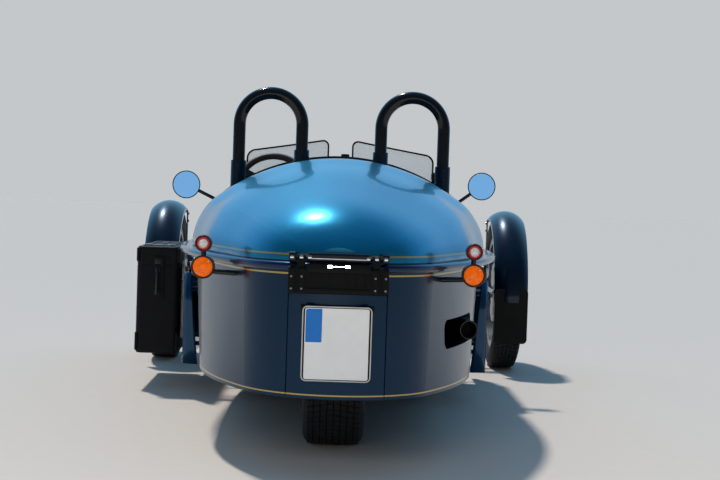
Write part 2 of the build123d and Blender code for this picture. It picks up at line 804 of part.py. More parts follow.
# Knuckles, guards and flaps that steer with the front wheels
pin_r = 10.0
pin_fit = 0.05
lower_ball_z = 230.0
upper_ball_z = 470.0
knuckle_half = 22.0
guard_r = 395.0
guard_t = 4.0
guard_lip = 55.0
guard_fall = 36.0
guard_half = guard_w / 2
guard_start = 72.0
guard_sweep = 111.0
stay_t = 6.0
flap_w = 152.0
flap_h = 250.0
flap_z = 275.0
flap_t = 6.0
arm_z = rack_z - 24
for name, side in (("left", -1), ("right", 1)):
    kx = side * kingpin_x
    wx = side * track_x
    stay_x = wx - side * (guard_half + gap)
    with BuildPart() as knuckle:
        with Locations((kx, front_axle_y, (lower_ball_z + upper_ball_z) / 2)):
            Box(2 * knuckle_half, 60, upper_ball_z - lower_ball_z - 40)
            Cylinder(pin_r, upper_ball_z - lower_ball_z + 40)
        with BuildSketch(Plane(origin=(kx, front_axle_y, front_tyre_r), x_dir=(0, 1, 0),
                               z_dir=(side, 0, 0))):
            Circle(hub_r)
        extrude(amount=kingpin_offset + 36)
        box_between(kx - 15, kx + 15, front_axle_y - arm_len - 14, front_axle_y, arm_z - 9, arm_z + 9)
        box_between(stay_x, stay_x - side * stay_t, front_axle_y + 28, front_axle_y + 52, front_tyre_r + 20,
                    front_tyre_r + guard_r - guard_lip + 8)
        box_between(kx - 12, kx + 12, front_axle_y + 20, front_axle_y + 52, front_tyre_r + 30,
                    front_tyre_r + 54)
        box_between(stay_x, stay_x - side * stay_t, front_axle_y - guard_r + guard_lip - 14,
                    front_axle_y - 28, 372, 392)
        box_between(kx - 12, kx + 12, front_axle_y - 52, front_axle_y - 20, 370, 394)
        add(caliper(wx, front_axle_y, front_tyre_r, -side, front_disc_r, disc_in + caliper_w - 16))
        box_between(wx - side * (disc_in + caliper_w - 28), kx, front_axle_y + 20,
                    front_axle_y + front_disc_r - 30,
                    front_tyre_r - 18, front_tyre_r + 18)
    save(knuckle.part, f"knuckle_{name}")

    turn = math.radians(guard_start)
    start = Plane(origin=(wx, front_axle_y, front_tyre_r), x_dir=(1, 0, 0),
                  z_dir=(0, -math.sin(turn), math.cos(turn)))
    with BuildPart() as guard:
        with BuildSketch(start):
            with BuildLine():
                ThreePointArc((-guard_half, guard_r - guard_fall), (0, guard_r),
                              (guard_half, guard_r - guard_fall))
                Line((guard_half, guard_r - guard_fall), (guard_half, guard_r - guard_lip))
                Line((guard_half, guard_r - guard_lip), (-guard_half, guard_r - guard_lip))
                Line((-guard_half, guard_r - guard_lip), (-guard_half, guard_r - guard_fall))
            make_face()
        revolve(axis=Axis(start.origin, (1, 0, 0)), revolution_arc=guard_sweep)
        with BuildSketch(start):
            with BuildLine():
                ThreePointArc(
                    (guard_t - guard_half, guard_r - guard_fall - guard_t),
                    (0, guard_r - guard_t),
                    (guard_half - guard_t, guard_r - guard_fall - guard_t),
                )
                Line((guard_half - guard_t, guard_r - guard_fall - guard_t),
                     (guard_half - guard_t, guard_r - 80))
                Line((guard_half - guard_t, guard_r - 80), (guard_t - guard_half, guard_r - 80))
                Line((guard_t - guard_half, guard_r - 80),
                     (guard_t - guard_half, guard_r - guard_fall - guard_t))
            make_face()
        revolve(axis=Axis(start.origin, (1, 0, 0)), revolution_arc=guard_sweep, mode=Mode.SUBTRACT)
    save(guard.part, f"guard_{name}")

    flap_y = front_axle_y - guard_r + guard_t + 8
    with BuildPart() as flap:
        with BuildSketch(Plane.XZ.offset(-flap_y)):
            with Locations((wx, flap_z)):
                RectangleRounded(flap_w, flap_h, 20)
        extrude(amount=flap_t)
        add(guard.part, mode=Mode.SUBTRACT)
    save(flap.part, f"flap_{name}")

# Wishbones with the spring struts that lean on them
strut_r = 24.0
with BuildPart() as wishbones:
    for side in (-1, 1):
        kx = side * kingpin_x
        for z, run in ((lower_ball_z, 150.0), (upper_ball_z, 120.0)):
            for end in (-run, run):
                add(tube([(side * 150, front_axle_y + end, z), (kx - side * 18, front_axle_y, z)], 13))
            with Locations((kx, front_axle_y, z)):
                Cylinder(24, 14)
                Cylinder(pin_r + pin_fit, 60, mode=Mode.SUBTRACT)
        foot = Vector(kx - side * 70, front_axle_y, lower_ball_z)
        head = Vector(side * 220, front_axle_y, 590)
        add(tube([foot, head], 11))
        add(tube([foot + (head - foot) * 0.25, foot + (head - foot) * 0.75], strut_r))
    add(skin_grown, mode=Mode.SUBTRACT)
    box_between(-130, 130, front_axle_y - 300, front_axle_y + 300, 0, waist_z, mode=Mode.SUBTRACT)
save(wishbones.part, "wishbones")

# Steering rack across the nose, with the track rods that slide in it
rack_half = 430.0
rod_fit = 0.05
with BuildPart() as steering_rack:
    add(level_rod(-rack_half, rack_half, rack_y, rack_z, rack_r))
    add(level_rod(-rack_half - 5, rack_half + 5, rack_y, rack_z, rod_r + rod_fit), mode=Mode.SUBTRACT)
save(steering_rack.part, "steering_rack")
with BuildPart() as track_rods:
    add(level_rod(-kingpin_x, kingpin_x, rack_y, rack_z, rod_r))
    for side in (-1, 1):
        with Locations((side * kingpin_x, rack_y, rack_z)):
            Cylinder(14, 2 * rod_r + 2)
save(track_rods.part, "track_rods")

# Swinging fork that carries the rear wheel
fork_x = 124.0
fork_t = 16.0
pivot_y = ra(500)
pivot_z = 300.0
with BuildPart() as swingarm:
    add(level_rod(-slot_half + gap, slot_half - gap, pivot_y, pivot_z, 16))
    add(level_rod(-fork_x - fork_t / 2, fork_x + fork_t / 2, rear_axle_y, rear_tyre_r, hub_r))
    for side in (-1, 1):
        with BuildSketch(Plane.YZ.offset(side * fork_x - fork_t / 2)):
            with BuildLine():
                Polyline(
                    (ra(-34), rear_tyre_r - 24),
                    (ra(-34), rear_tyre_r + 24),
                    (ra(120), rear_tyre_r + 30),
                    (pivot_y + 24, pivot_z + 24),
                    (pivot_y + 24, pivot_z - 24),
                    (ra(120), rear_tyre_r - 30),
                    close=True,
                )
            make_face()
        extrude(amount=fork_t)
    with Locations((0, pivot_y - 100, pivot_z + 5)):
        Box(2 * fork_x, 40, 40)
    add(caliper(0, rear_axle_y, rear_tyre_r, 1, rear_disc_r, fork_x - fork_t / 2 + 2))
save(swingarm.part, "swingarm")

# Hinge casting on the tail, with the leaves of the deck that turn on its pin
hinge_half = 140.0
hinge_y = tail_y - 20
hinge_z = 636.0
hinge_back = tail_y - 40
hinge_low = 537.0
hinge_high = 612.0
hinge_pin_r = 5.0
hinge_fit = 0.05
leaf_low = 626.0
leaf_high = 652.0
leaf_half = 85.0
recess_half = 94.0
lug_w = 22.0
post_slot = 12.0
with BuildPart() as tail_hinge:
    box_between(-hinge_half, hinge_half, hinge_back, tail_y + 12, hinge_low, hinge_high)
    fillet(tail_hinge.edges().filter_by(Axis.X).group_by(Axis.Y)[0], 8)
    with BuildSketch(Plane.XZ.offset(-hinge_back - 5)):
        with Locations((0, (hinge_low + hinge_high) / 2)):
            RectangleRounded(2 * recess_half, 46, 8)
    extrude(amount=20, mode=Mode.SUBTRACT)
    for side in (-1, 1):
        post_x = side * (recess_half + hinge_half) / 2
        box_between(post_x - post_slot / 2, post_x + post_slot / 2, hinge_back - 1, hinge_back + 6,
                    hinge_low - 1, hinge_high + 1, mode=Mode.SUBTRACT)
        box_between(side * recess_half, side * (recess_half + lug_w), hinge_y - 13, hinge_y + 13,
                    hinge_high - 8, hinge_z + 8)
    add(level_rod(-hinge_half, hinge_half, hinge_y, hinge_z, hinge_pin_r))
    add(skin_grown, mode=Mode.SUBTRACT)
    add(belt_rail.part, mode=Mode.SUBTRACT)
save(tail_hinge.part, "tail_hinge")
with BuildPart() as deck_leaf:
    box_between(-leaf_half, leaf_half, hinge_y - 16, tail_y + 60, leaf_low, leaf_high)
    for side in (-1, 1):
        box_between(side * (recess_half + lug_w + moving_gap), side * hinge_half, hinge_y - 16, tail_y + 60,
                    leaf_low, leaf_high)
    fillet(deck_leaf.edges().filter_by(Axis.X).group_by(Axis.Y)[0], 7)
    add(level_rod(-200, 200, hinge_y, hinge_z, hinge_pin_r + hinge_fit), mode=Mode.SUBTRACT)
    add(tail_grown, mode=Mode.SUBTRACT)
save(deck_leaf.part, "deck_leaf")

# Number plate: a blank face in a frame on the tail
plate_w = 180.0
plate_h = 200.0
plate_z = 397.0
frame_w = 8.5
frame_h = 6.0
plate_back = tail_y - 14
with BuildPart() as plate_frame:
    box_between(-plate_w / 2 - frame_w, plate_w / 2 + frame_w, plate_back - 4, plate_back + 4,
                plate_z - plate_h / 2 - frame_h, plate_z + plate_h / 2 + frame_h)
    fillet(plate_frame.edges().filter_by(Axis.Y), 10)
    with Locations((0, plate_back - 4, plate_z)):
        Box(plate_w + 2 * gap, 5, plate_h + 2 * gap, mode=Mode.SUBTRACT)
    box_between(-45, 45, plate_back, tail_y + 40, plate_z - 60, plate_z + 60)
    add(skin_grown, mode=Mode.SUBTRACT)
save(plate_frame.part, "plate_frame")
with BuildPart() as plate:
    with Locations((0, plate_back - 1.5 - gap - 1, plate_z)):
        Box(plate_w, 2, plate_h)
    fillet(plate.edges().filter_by(Axis.Y), 6)
save(plate.part, "plate")

# Tail lamps and indicators on arms below the belt
lamp_x = 402.0
lamp_y = ra(-437)
lamp_t = 34.0
arm_root_x = 200.0
# Columns: node, height, radius of its glass.
lamp_table = (("tail_lenses", 657.0, 20.0), ("indicator_lenses", 587.0, 30.0))
with BuildPart() as lamps:
    for side in (-1, 1):
        for node, z, r in lamp_table:
            with BuildSketch(Plane.XZ.offset(-lamp_y)):
                with Locations((side * lamp_x, z)):
                    Circle(r + 5)
            extrude(amount=lamp_t / 2, both=True)
            with BuildSketch(Plane.XZ.offset(-lamp_y + lamp_t / 2)):
                with Locations((side * lamp_x, z)):
                    Circle(r + gap)
            extrude(amount=-6, mode=Mode.SUBTRACT)
        add(tube([(side * lamp_x, lamp_y, 612), (side * lamp_x, lamp_y, 642)], 8))
        add(tube([(side * (lamp_x - 30), lamp_y, 574), (side * arm_root_x, lamp_y, 566)], 8))
    add(skin_grown, mode=Mode.SUBTRACT)
    add(belt_rail.part, mode=Mode.SUBTRACT)
    box_between(-arm_root_x - 20, arm_root_x + 20, lamp_y - 60, lamp_y + 60, 500, 700, mode=Mode.SUBTRACT)
save(lamps.part, "lamps")
lens_t = 12.0
for node, z, r in lamp_table:
    with BuildPart() as lenses:
        for side in (-1, 1):
            with BuildSketch(Plane.XZ.offset(-lamp_y + lamp_t / 2 - 6 + gap)):
                with Locations((side * lamp_x, z)):
                    Circle(r)
            extrude(amount=lens_t)
        fillet(lenses.faces().group_by(Axis.Y)[0].edges(), 6)
    save(lenses.part, node)

# Exhaust: a tail pipe that slants out of the recess in the right flank
pipe_r = 30.0
pipe_x = 416.0
pipe_z = 403.0
pipe_y = ra(-200)
pipe_yaw = math.radians(15)
pipe_plane = Plane(origin=(pipe_x, pipe_y, pipe_z), x_dir=(0, 0, 1),
                   z_dir=(-math.sin(pipe_yaw), math.cos(pipe_yaw), 0))
with BuildPart() as exhaust:
    with BuildSketch(pipe_plane):
        Circle(pipe_r)
    extrude(amount=330)
    fillet(exhaust.faces().sort_by(Axis.Y)[0].edges(), 1.5)
    with BuildSketch(pipe_plane):
        Circle(pipe_r - 4)
    extrude(amount=60, mode=Mode.SUBTRACT)
save(exhaust.part, "exhaust")
with BuildPart() as pipe_hole:
    with BuildSketch(pipe_plane):
        Circle(pipe_r + gap)
    extrude(amount=340)
tail_tub_part = tail_tub.part - pipe_hole.part
save(tail_tub_part, "tail_tub")

# Round mirrors on stalks, with their glasses
mirror_r = 57.5
mirror_y = ra(1350)
# Columns: side, distance out, height.
mirror_rows = ((-1, 632.0, 830.0), (1, 589.0, 862.0))
with BuildPart() as mirrors:
    for side, mirror_x, z in mirror_rows:
        with BuildSketch(Plane.XY.offset(z)):
            with BuildLine():
                Line((side * mirror_x, mirror_y), (side * (mirror_x + mirror_r), mirror_y))
                Line((side * (mirror_x + mirror_r), mirror_y), (side * (mirror_x + mirror_r), mirror_y + 8))
                ThreePointArc((side * (mirror_x + mirror_r), mirror_y + 8),
                              (side * (mirror_x + 38), mirror_y + 27),
                              (side * mirror_x, mirror_y + 34))
                Line((side * mirror_x, mirror_y + 34), (side * mirror_x, mirror_y))
            make_face()
        revolve(axis=Axis((side * mirror_x, mirror_y, z), (0, 1, 0)))
        with BuildSketch(Plane.XZ.offset(-mirror_y)):
            with Locations((side * mirror_x, z)):
                Circle(mirror_r - 4 + gap)
        extrude(amount=-4, mode=Mode.SUBTRACT)
        add(tube([(side * mirror_x, mirror_y + 22, z), (side * 400, mirror_y + 40, 720)], 7))
        with Locations((side * 462, mirror_y + 35, 745)):
            Sphere(20)
    add(cowl_grown, mode=Mode.SUBTRACT)
    box_between(-440, 440, mirror_y - 50, mirror_y + 100, 600, 735, mode=Mode.SUBTRACT)
save(mirrors.part, "mirrors")
with BuildPart() as mirror_glasses:
    for side, mirror_x, z in mirror_rows:
        with BuildSketch(Plane.XZ.offset(-mirror_y - 1)):
            with Locations((side * mirror_x, z)):
                Circle(mirror_r - 4)
        extrude(amount=-3 + gap)
save(mirror_glasses.part, "mirror_glasses")

# Side blades, each a plate on stays from the flank, with the radiator that it ducts
blade_x = 595.0
blade_t = 8.0
blade_len = 910.0
blade_h = 370.0
blade_y = ra(1495)
blade_z = 305.0
stay_r = 9.0
stay_pitch = 345.0
stay_rise = 220.0
with BuildPart() as blades:
    for side in (-1, 1):
        with BuildSketch(Plane.YZ.offset(side * blade_x - blade_t / 2)):
            with Locations((blade_y, blade_z)):
                RectangleRounded(blade_len, blade_h, 60)
        extrude(amount=blade_t)
        for step in (-1, 0, 1):
            for half_rise in (-stay_rise / 2, stay_rise / 2):
                add(level_rod(side * blade_x, side * 250, blade_y + step * stay_pitch,
                              blade_z + half_rise, stay_r))
    add(skin_grown, mode=Mode.SUBTRACT)
    box_between(-300, 300, blade_y - blade_len, blade_y + blade_len, 0, waist_z, mode=Mode.SUBTRACT)
save(blades.part, "blades")
radiator_y0 = ra(1700)
radiator_y1 = ra(1760)
radiator_low = 180.0
radiator_high = 440.0
radiator_in = 470.0
slot_rows = 14
slot_pitch = 16.0
slot_depth = 8.0
with BuildPart() as radiators:
    for side in (-1, 1):
        box_between(side * 350, side * (blade_x - blade_t / 2 - gap), radiator_y0, radiator_y1,
                    radiator_low, radiator_high)
        core_x = side * (radiator_in + blade_x) / 2
        for y, into in ((radiator_y0, -slot_depth), (radiator_y1, slot_depth)):
            with BuildSketch(Plane.XZ.offset(-y)):
                with Locations((core_x, (radiator_low + radiator_high) / 2)):
                    with GridLocations(1, slot_pitch, 1, slot_rows):
                        Rectangle(blade_x - radiator_in - 30, slot_pitch / 2)
            extrude(amount=into, mode=Mode.SUBTRACT)
    add(skin_grown, mode=Mode.SUBTRACT)
save(radiators.part, "radiators")

# Tubular rails over the blades; the left one also holds the case
rail_r = 11.0
rail_low = 505.0
rail_high = 560.0
rail_half = 400.0
rail_x = 595.0
case_in = 635.0
case_out = 807.0
case_y0 = ra(1200)
case_y1 = ra(1800)
case_low = 143.0
case_high = 577.0
with BuildPart() as side_rails:
    for side in (-1, 1):
        with BuildLine() as loop:
            FilletPolyline(
                (side * rail_x, blade_y - rail_half, rail_low),
                (side * rail_x, blade_y + rail_half, rail_low),
                (side * rail_x, blade_y + rail_half, rail_high),
                (side * rail_x, blade_y - rail_half, rail_high),
                radius=24,
                close=True,
            )
        with BuildSketch(Plane(origin=loop.line @ 0, z_dir=loop.line % 0)):
            Circle(rail_r)
        sweep(path=loop.line)
        for step in (-1, 1):
            add(level_rod(side * rail_x, side * 250, blade_y + step * 200, rail_high, stay_r))
            add(tube([(side * rail_x, blade_y + step * 300, rail_low),
                      (side * rail_x, blade_y + step * 300, blade_z + blade_h / 2 - 40)], stay_r))
    for y in (case_y0 + 130, case_y1 - 130):
        add(level_rod(-rail_x, -case_in + gap, y, rail_low, stay_r))
        box_between(-case_in + gap, -case_in + 12, y - 20, y + 20, 200, rail_low + 12)
    add(skin_grown, mode=Mode.SUBTRACT)
    add(blades.part, mode=Mode.SUBTRACT)
    box_between(-300, 300, blade_y - blade_len, blade_y + blade_len, 0, waist_z, mode=Mode.SUBTRACT)
save(side_rails.part, "side_rails")

# Hard case outside the left blade
lid_seam_z = 500.0
case_round = 22.0
case_edge = 12.0
end_pad_w = 46.0
end_pad_h = 170.0
end_pad_t = 9.0
with BuildPart() as case:
    box_between(-case_out, -case_in, case_y0, case_y1, case_low, case_high)
    fillet(case.edges().filter_by(Axis.Z), case_round)
    fillet(case.faces().sort_by(Axis.Z)[-1].edges(), case_edge)
    fillet(case.faces().sort_by(Axis.Z)[0].edges(), case_edge)
    seam = slab(-case_out - 5, -case_in + 5, case_y0 - 5, case_y1 + 5, lid_seam_z - 1.5, lid_seam_z + 1.5)
    add(seam - slab(-case_out + 4, -case_in - 4, case_y0 + 4, case_y1 - 4, 0, 900), mode=Mode.SUBTRACT)
    for y, out in ((case_y0, -1), (case_y1, 1)):
        with BuildSketch(Plane.XZ.offset(-y)):
            with Locations((-(case_in + case_out) / 2, 450)):
                RectangleRounded(end_pad_w, end_pad_h, 8)
        extrude(amount=-out * end_pad_t)
save(case.part, "side_case")

# Headlamps on stalks from the nose
headlamp_r = 90.0
headlamp_x = 430.0
headlamp_y = ra(2640)
headlamp_z = 640.0
headlamp_front = 40.0
headlamp_lip = 30.0
headlamp_back = 90.0
headlamp_wall = 7.0
bezel_sink = 12.0
with BuildPart() as headlamps:
    for side in (-1, 1):
        lamp_plane = Plane(origin=(side * headlamp_x, headlamp_y, headlamp_z), x_dir=(1, 0, 0),
                           z_dir=(0, 0, 1))
        with BuildSketch(lamp_plane):
            with BuildLine():
                Line((0, -headlamp_back), (0, headlamp_front))
                Line((0, headlamp_front), (headlamp_r, headlamp_front))
                Line((headlamp_r, headlamp_front), (headlamp_r, headlamp_front - headlamp_lip))
                ThreePointArc((headlamp_r, headlamp_front - headlamp_lip),
                              (0.69 * headlamp_r, -0.64 * headlamp_back), (0, -headlamp_back))
            make_face()
        revolve(axis=Axis(lamp_plane.origin, (0, 1, 0)))
        with BuildSketch(Plane.XZ.offset(-headlamp_y - headlamp_front)):
            with Locations((side * headlamp_x, headlamp_z)):
                Circle(headlamp_r - headlamp_wall + gap)
        extrude(amount=bezel_sink, mode=Mode.SUBTRACT)
        add(tube([(side * headlamp_x, headlamp_y, 570), (side * (headlamp_x - 20), headlamp_y - 40, 530),
                  (side * 120, headlamp_y - 40, 520)], 11, 12))
    add(skin_grown, mode=Mode.SUBTRACT)
    box_between(-180, 180, headlamp_y - 200, headlamp_y + 100, 0, waist_z, mode=Mode.SUBTRACT)
save(headlamps.part, "headlamps")
with BuildPart() as headlamp_glasses:
    for side in (-1, 1):
        with BuildSketch(Plane.XZ.offset(-headlamp_y - headlamp_front + bezel_sink - gap)):
            with Locations((side * headlamp_x, headlamp_z)):
                Circle(headlamp_r - headlamp_wall)
        extrude(amount=-2 * bezel_sink)
    fillet(headlamp_glasses.faces().group_by(Axis.Y)[-1].edges(), 16)
save(headlamp_glasses.part, "headlamp_glasses")

# Engine in the nose with its head and cam covers, and the grille behind the intake
engine_half = 150.0
engine_y0 = ra(1860)
engine_y1 = ra(2240)
block_top_z = 490.0
head_top_z = 555.0
cover_half = 30.0
cam_x = 62.0
with BuildPart() as engine:
    box_between(-engine_half, engine_half, engine_y0, engine_y1, sill_z + floor_t + gap, block_top_z)
    fillet(engine.edges().filter_by(Axis.Z), 25)
    box_between(20 - engine_half, engine_half - 20, engine_y0 + 20, engine_y1 - 20, block_top_z, head_top_z)
    for side in (-1, 1):
        with BuildSketch(Plane.XZ.offset(-engine_y1 + 30)):
            with Locations((side * cam_x, head_top_z)):
                SlotOverall(4 * cover_half, 2 * cover_half)
        extrude(amount=engine_y1 - engine_y0 - 60)
save(engine.part, "engine")
grille_y = nose_y - 112
grille_pitch = 20.0
grille_hole = 14.0
with BuildPart() as grille:
    with BuildSketch(Plane.XZ.offset(-grille_y)):
        with Locations((0, intake_z)):
            Rectangle(intake_w + 100, intake_h + 30)
            with GridLocations(grille_pitch, grille_pitch, 15, 7):
                Rectangle(grille_hole, grille_hole, mode=Mode.SUBTRACT)
    extrude(amount=8)
    add(flank(wall_t + gap, sill_z, wall_top_z), mode=Mode.INTERSECT)
save(grille.part, "grille")
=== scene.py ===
import math

import bmesh
import bpy
from bpy.props import FloatProperty, FloatVectorProperty, IntProperty, PointerProperty
from mathutils import Matrix, Vector


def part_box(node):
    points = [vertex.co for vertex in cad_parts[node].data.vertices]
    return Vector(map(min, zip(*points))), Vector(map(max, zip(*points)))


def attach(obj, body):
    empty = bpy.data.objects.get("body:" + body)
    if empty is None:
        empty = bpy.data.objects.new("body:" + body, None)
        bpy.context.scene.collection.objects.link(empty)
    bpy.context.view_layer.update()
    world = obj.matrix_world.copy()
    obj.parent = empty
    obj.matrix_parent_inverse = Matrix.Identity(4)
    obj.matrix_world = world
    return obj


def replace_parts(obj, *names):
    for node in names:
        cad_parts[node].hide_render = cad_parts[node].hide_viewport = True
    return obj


bl_info = {
    "name": "Three wheeled car dressing",
    "version": (1, 1, 0),
    "blender": (4, 5, 0),
    "location": "View3D > Sidebar > Three wheeler",
    "description": "Dresses the packed three wheeled car with its finishes and fine pieces",
    "category": "Object",
}

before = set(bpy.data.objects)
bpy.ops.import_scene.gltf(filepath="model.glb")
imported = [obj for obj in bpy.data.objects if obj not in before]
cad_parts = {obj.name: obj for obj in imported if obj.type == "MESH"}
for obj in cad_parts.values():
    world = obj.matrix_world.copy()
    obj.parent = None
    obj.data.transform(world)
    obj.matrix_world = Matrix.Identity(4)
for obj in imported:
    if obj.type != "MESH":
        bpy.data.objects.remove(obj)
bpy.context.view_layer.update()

# Stations and sizes in metres
REAR_AXLE = -1.0485
FRONT_AXLE = REAR_AXLE + 2.390
TRACK = 0.807
FRONT_R = 0.358
REAR_R = 0.317
FRONT_RIM_R = 0.254
REAR_RIM_R = 0.1905
BOSS_HALF = 0.036
X, Y, Z = Vector((1, 0, 0)), Vector((0, 1, 0)), Vector((0, 0, 1))
TURN = 2 * math.pi
SIDES = (-1, 1)
# Where rays that look for a surface start: a station behind the car and a height above it
BEHIND, ABOVE = -3.0, 1.3


def at(y_mm):
    """Station in metres, measured forward from the rear axle in millimetres."""
    return REAR_AXLE + y_mm / 1000


# Sizes and colours that a user would change

class PaintSettings(bpy.types.PropertyGroup):
    """Colours of the coachwork"""
    deep: FloatVectorProperty(name="Deep blue", description="Paint between the flakes", subtype="COLOR",
                              default=(0.0, 0.14, 0.27), min=0, max=1)
    bright: FloatVectorProperty(name="Bright blue", description="Paint on the flakes", subtype="COLOR",
                                default=(0.002, 0.36, 0.60), min=0, max=1)
    # Flank colours: a darker copy of the coach blue, which is painted shade and a painted reflection of the dark
    # ground on the lower sides
    flank_shade_deep: FloatVectorProperty(name="Flank deep blue", description="Flanks between the flakes", subtype="COLOR",
                                  default=(0.0, 0.012, 0.034), min=0, max=1)
    flank_shade_bright: FloatVectorProperty(name="Flank bright blue", description="Flanks on the flakes", subtype="COLOR",
                                    default=(0.0, 0.042, 0.100), min=0, max=1)
    line: FloatVectorProperty(name="Coach line", description="Colour of the thin painted lines", subtype="COLOR",
                              default=(0.52, 0.38, 0.12), min=0, max=1)


class TyreSettings(bpy.types.PropertyGroup):
    """Tread of the tyres"""
    blocks: IntProperty(name="Blocks round", description="Rows of tread blocks round a tyre",
                        default=84, min=40, max=140)
    groove: FloatProperty(name="Groove depth", description="Depth of the tread grooves", subtype="DISTANCE",
                          unit="LENGTH", default=0.0065, min=0.002, max=0.010)
    sweep: FloatProperty(name="Tread sweep", description="Turn of the tread from its middle to its edge",
                         subtype="ANGLE", default=math.radians(3.2), min=0, max=math.radians(8))


class SeatSettings(bpy.types.PropertyGroup):
    """Padding of the seats"""
    swell: FloatProperty(name="Swell", description="Pressure that fills a pad", default=4.0, min=0.5, max=8)
    travel: FloatProperty(name="Most swell", description="How far a pad may grow", subtype="DISTANCE",
                          unit="LENGTH", default=0.012, min=0.002, max=0.02)
    flute: FloatProperty(name="Flute width", description="Distance between the sewn channels",
                         subtype="DISTANCE", unit="LENGTH", default=0.052, min=0.03, max=0.12)
    cover: FloatVectorProperty(name="Cover", description="Colour of the seat covers", subtype="COLOR",
                               default=(0.30, 0.125, 0.05), min=0, max=1)


class LightSettings(bpy.types.PropertyGroup):
    """Studio light"""
    key: FloatProperty(name="Key light", description="Strength of the high light ahead of the car",
                       default=2.6, min=0)
    fill: FloatProperty(name="Fill light", description="Power of the soft light behind the car", unit="POWER",
                        default=110.0, min=0)
    sky: FloatProperty(name="Sky", description="Strength of the light from all round", default=1.0, min=0)
    glow: FloatProperty(name="Lamp glow", description="Strength of the lit plate lamps", default=16.0, min=0)


# Materials

class Graph:
    """A node tree with a few helpers."""

    def __init__(self, tree):
        self.tree = tree

    def node(self, kind, **settings):
        """New node, with its properties and inputs set by name."""
        made = self.tree.nodes.new(kind)
        for key, value in settings.items():
            if key in made.bl_rna.properties:
                setattr(made, key, value)
            else:
                made.inputs[key.replace("_", " ")].default_value = value
        return made

    def link(self, a, b):
        self.tree.links.new(a, b)

    def feed(self, sockets, values):
        """Give each socket a link, a colour or a number."""
        for socket, value in zip(sockets, values):
            if isinstance(value, bpy.types.NodeSocket):
                self.link(value, socket)
            else:
                socket.default_value = (*value, 1.0) if isinstance(value, tuple) else value

    def ramp(self, fac, stops):
        ramp = self.node("ShaderNodeValToRGB")
        elements = ramp.color_ramp.elements
        while len(elements) < len(stops):
            elements.new(0.5)
        for element, (place, color) in zip(elements, stops):
            element.position = place
            element.color = (*color, 1.0)
        self.link(fac, ramp.inputs["Fac"])
        return ramp.outputs["Color"]

    def span(self, fac, **ends):
        """Map a value from one range to another."""
        mapped = self.node("ShaderNodeMapRange", **ends)
        self.link(fac, mapped.inputs["Value"])
        return mapped.outputs["Result"]

    def mix(self, fac, a, b):
        """Blend from a to b, each a socket or a colour."""
        mix = self.node("ShaderNodeMix", data_type="RGBA")
        self.link(fac, mix.inputs["Factor"])
        self.feed([s for s in mix.inputs if s.type == "RGBA"], (a, b))
        return [s for s in mix.outputs if s.type == "RGBA"][0]

    def math(self, operation, a, b):
        made = self.node("ShaderNodeMath", operation=operation)
        self.feed(made.inputs, (a, b))
        return made.outputs["Value"]


class Shader(Graph):
    """A node material that reads object coordinates."""

    def __init__(self, name, **sockets):
        self.material = bpy.data.materials.new(name)
        self.material.use_nodes = True
        super().__init__(self.material.node_tree)
        self.bsdf = self.tree.nodes["Principled BSDF"]
        for key, value in sockets.items():
            self.bsdf.inputs[key.replace("_", " ")].default_value = value

    def pattern(self, kind, source, output, **settings):
        """Output of a node that reads the object coordinates."""
        made = self.node(kind, **settings)
        self.link(self.node("ShaderNodeTexCoord").outputs["Object"], made.inputs[source])
        return made.outputs[output]

    def noise(self, scale, detail=4.0):
        return self.pattern("ShaderNodeTexNoise", "Vector", "Fac", Scale=scale, Detail=detail)

    def cells(self, scale):
        return self.pattern("ShaderNodeTexVoronoi", "Vector", "Distance", Scale=scale)

    def bump(self, fac, strength, distance):
        bump = self.node("ShaderNodeBump", Strength=strength, Distance=distance)
        self.link(fac, bump.inputs["Height"])
        self.link(bump.outputs["Normal"], self.bsdf.inputs["Normal"])

    def surface(self, color, rough=None):
        """Link the colour, and a roughness given as scale, low and high, and return the material."""
        self.link(color, self.bsdf.inputs["Base Color"])
        if rough:
            scale, low, high = rough
            self.link(self.span(self.noise(scale), To_Min=low, To_Max=high), self.bsdf.inputs["Roughness"])
        return self.material

    def height_stripe(self, low, high):
        """1 between two heights above the ground, 0 elsewhere."""
        height = self.pattern("ShaderNodeSeparateXYZ", "Vector", "Z")
        return self.math("MULTIPLY", self.math("GREATER_THAN", height, low), self.math("LESS_THAN", height, high))


def shade(color, factor):
    """Colour times a factor, up to 1."""
    return tuple(min(1, c * factor) for c in color)


def paint(name, deep, bright, lines=(), line_color=(0.5, 0.4, 0.1), coat=1.0):
    """Metallic coach paint with fine flake under a clear coat, and thin lines at given heights."""
    shader = Shader(name, Metallic=0.8, Coat_Weight=coat, Coat_Roughness=0.02, Coat_IOR=1.5)
    base = shader.ramp(shader.noise(2600.0, 2.0), [(0.35, deep), (0.75, bright)])
    for low, high in lines:
        base = shader.mix(shader.height_stripe(low, high), base, line_color)
    shader.bump(shader.noise(340.0, 2.0), 0.02, 0.0002)
    return shader.surface(base, (6.0, 0.26, 0.34))


def plain(name, color, roughness, metallic=0.0, grain=900.0, bump=0.15, vary=0.25, **extra):
    """Moulded, cast or coated finish with a little variation and a fine surface grain."""
    shader = Shader(name, Metallic=metallic, **extra)
    if bump:
        shader.bump(shader.noise(grain, 2.0), bump, 0.0004)
    return shader.surface(shader.ramp(shader.noise(22.0), [(0.3, shade(color, 1 - vary)), (0.7, color)]),
                          (60.0, roughness * 0.85, min(roughness * 1.15, 1.0)))


def clear_glass(name, tint, alpha):
    """Clear pane with a faint tint that drifts over it."""
    shader = Shader(name, Roughness=0.015, IOR=1.45, Alpha=alpha, Specular_IOR_Level=0.8)
    return shader.surface(shader.ramp(shader.noise(3.0), [(0.2, tint), (0.9, shade(tint, 1.05))]))


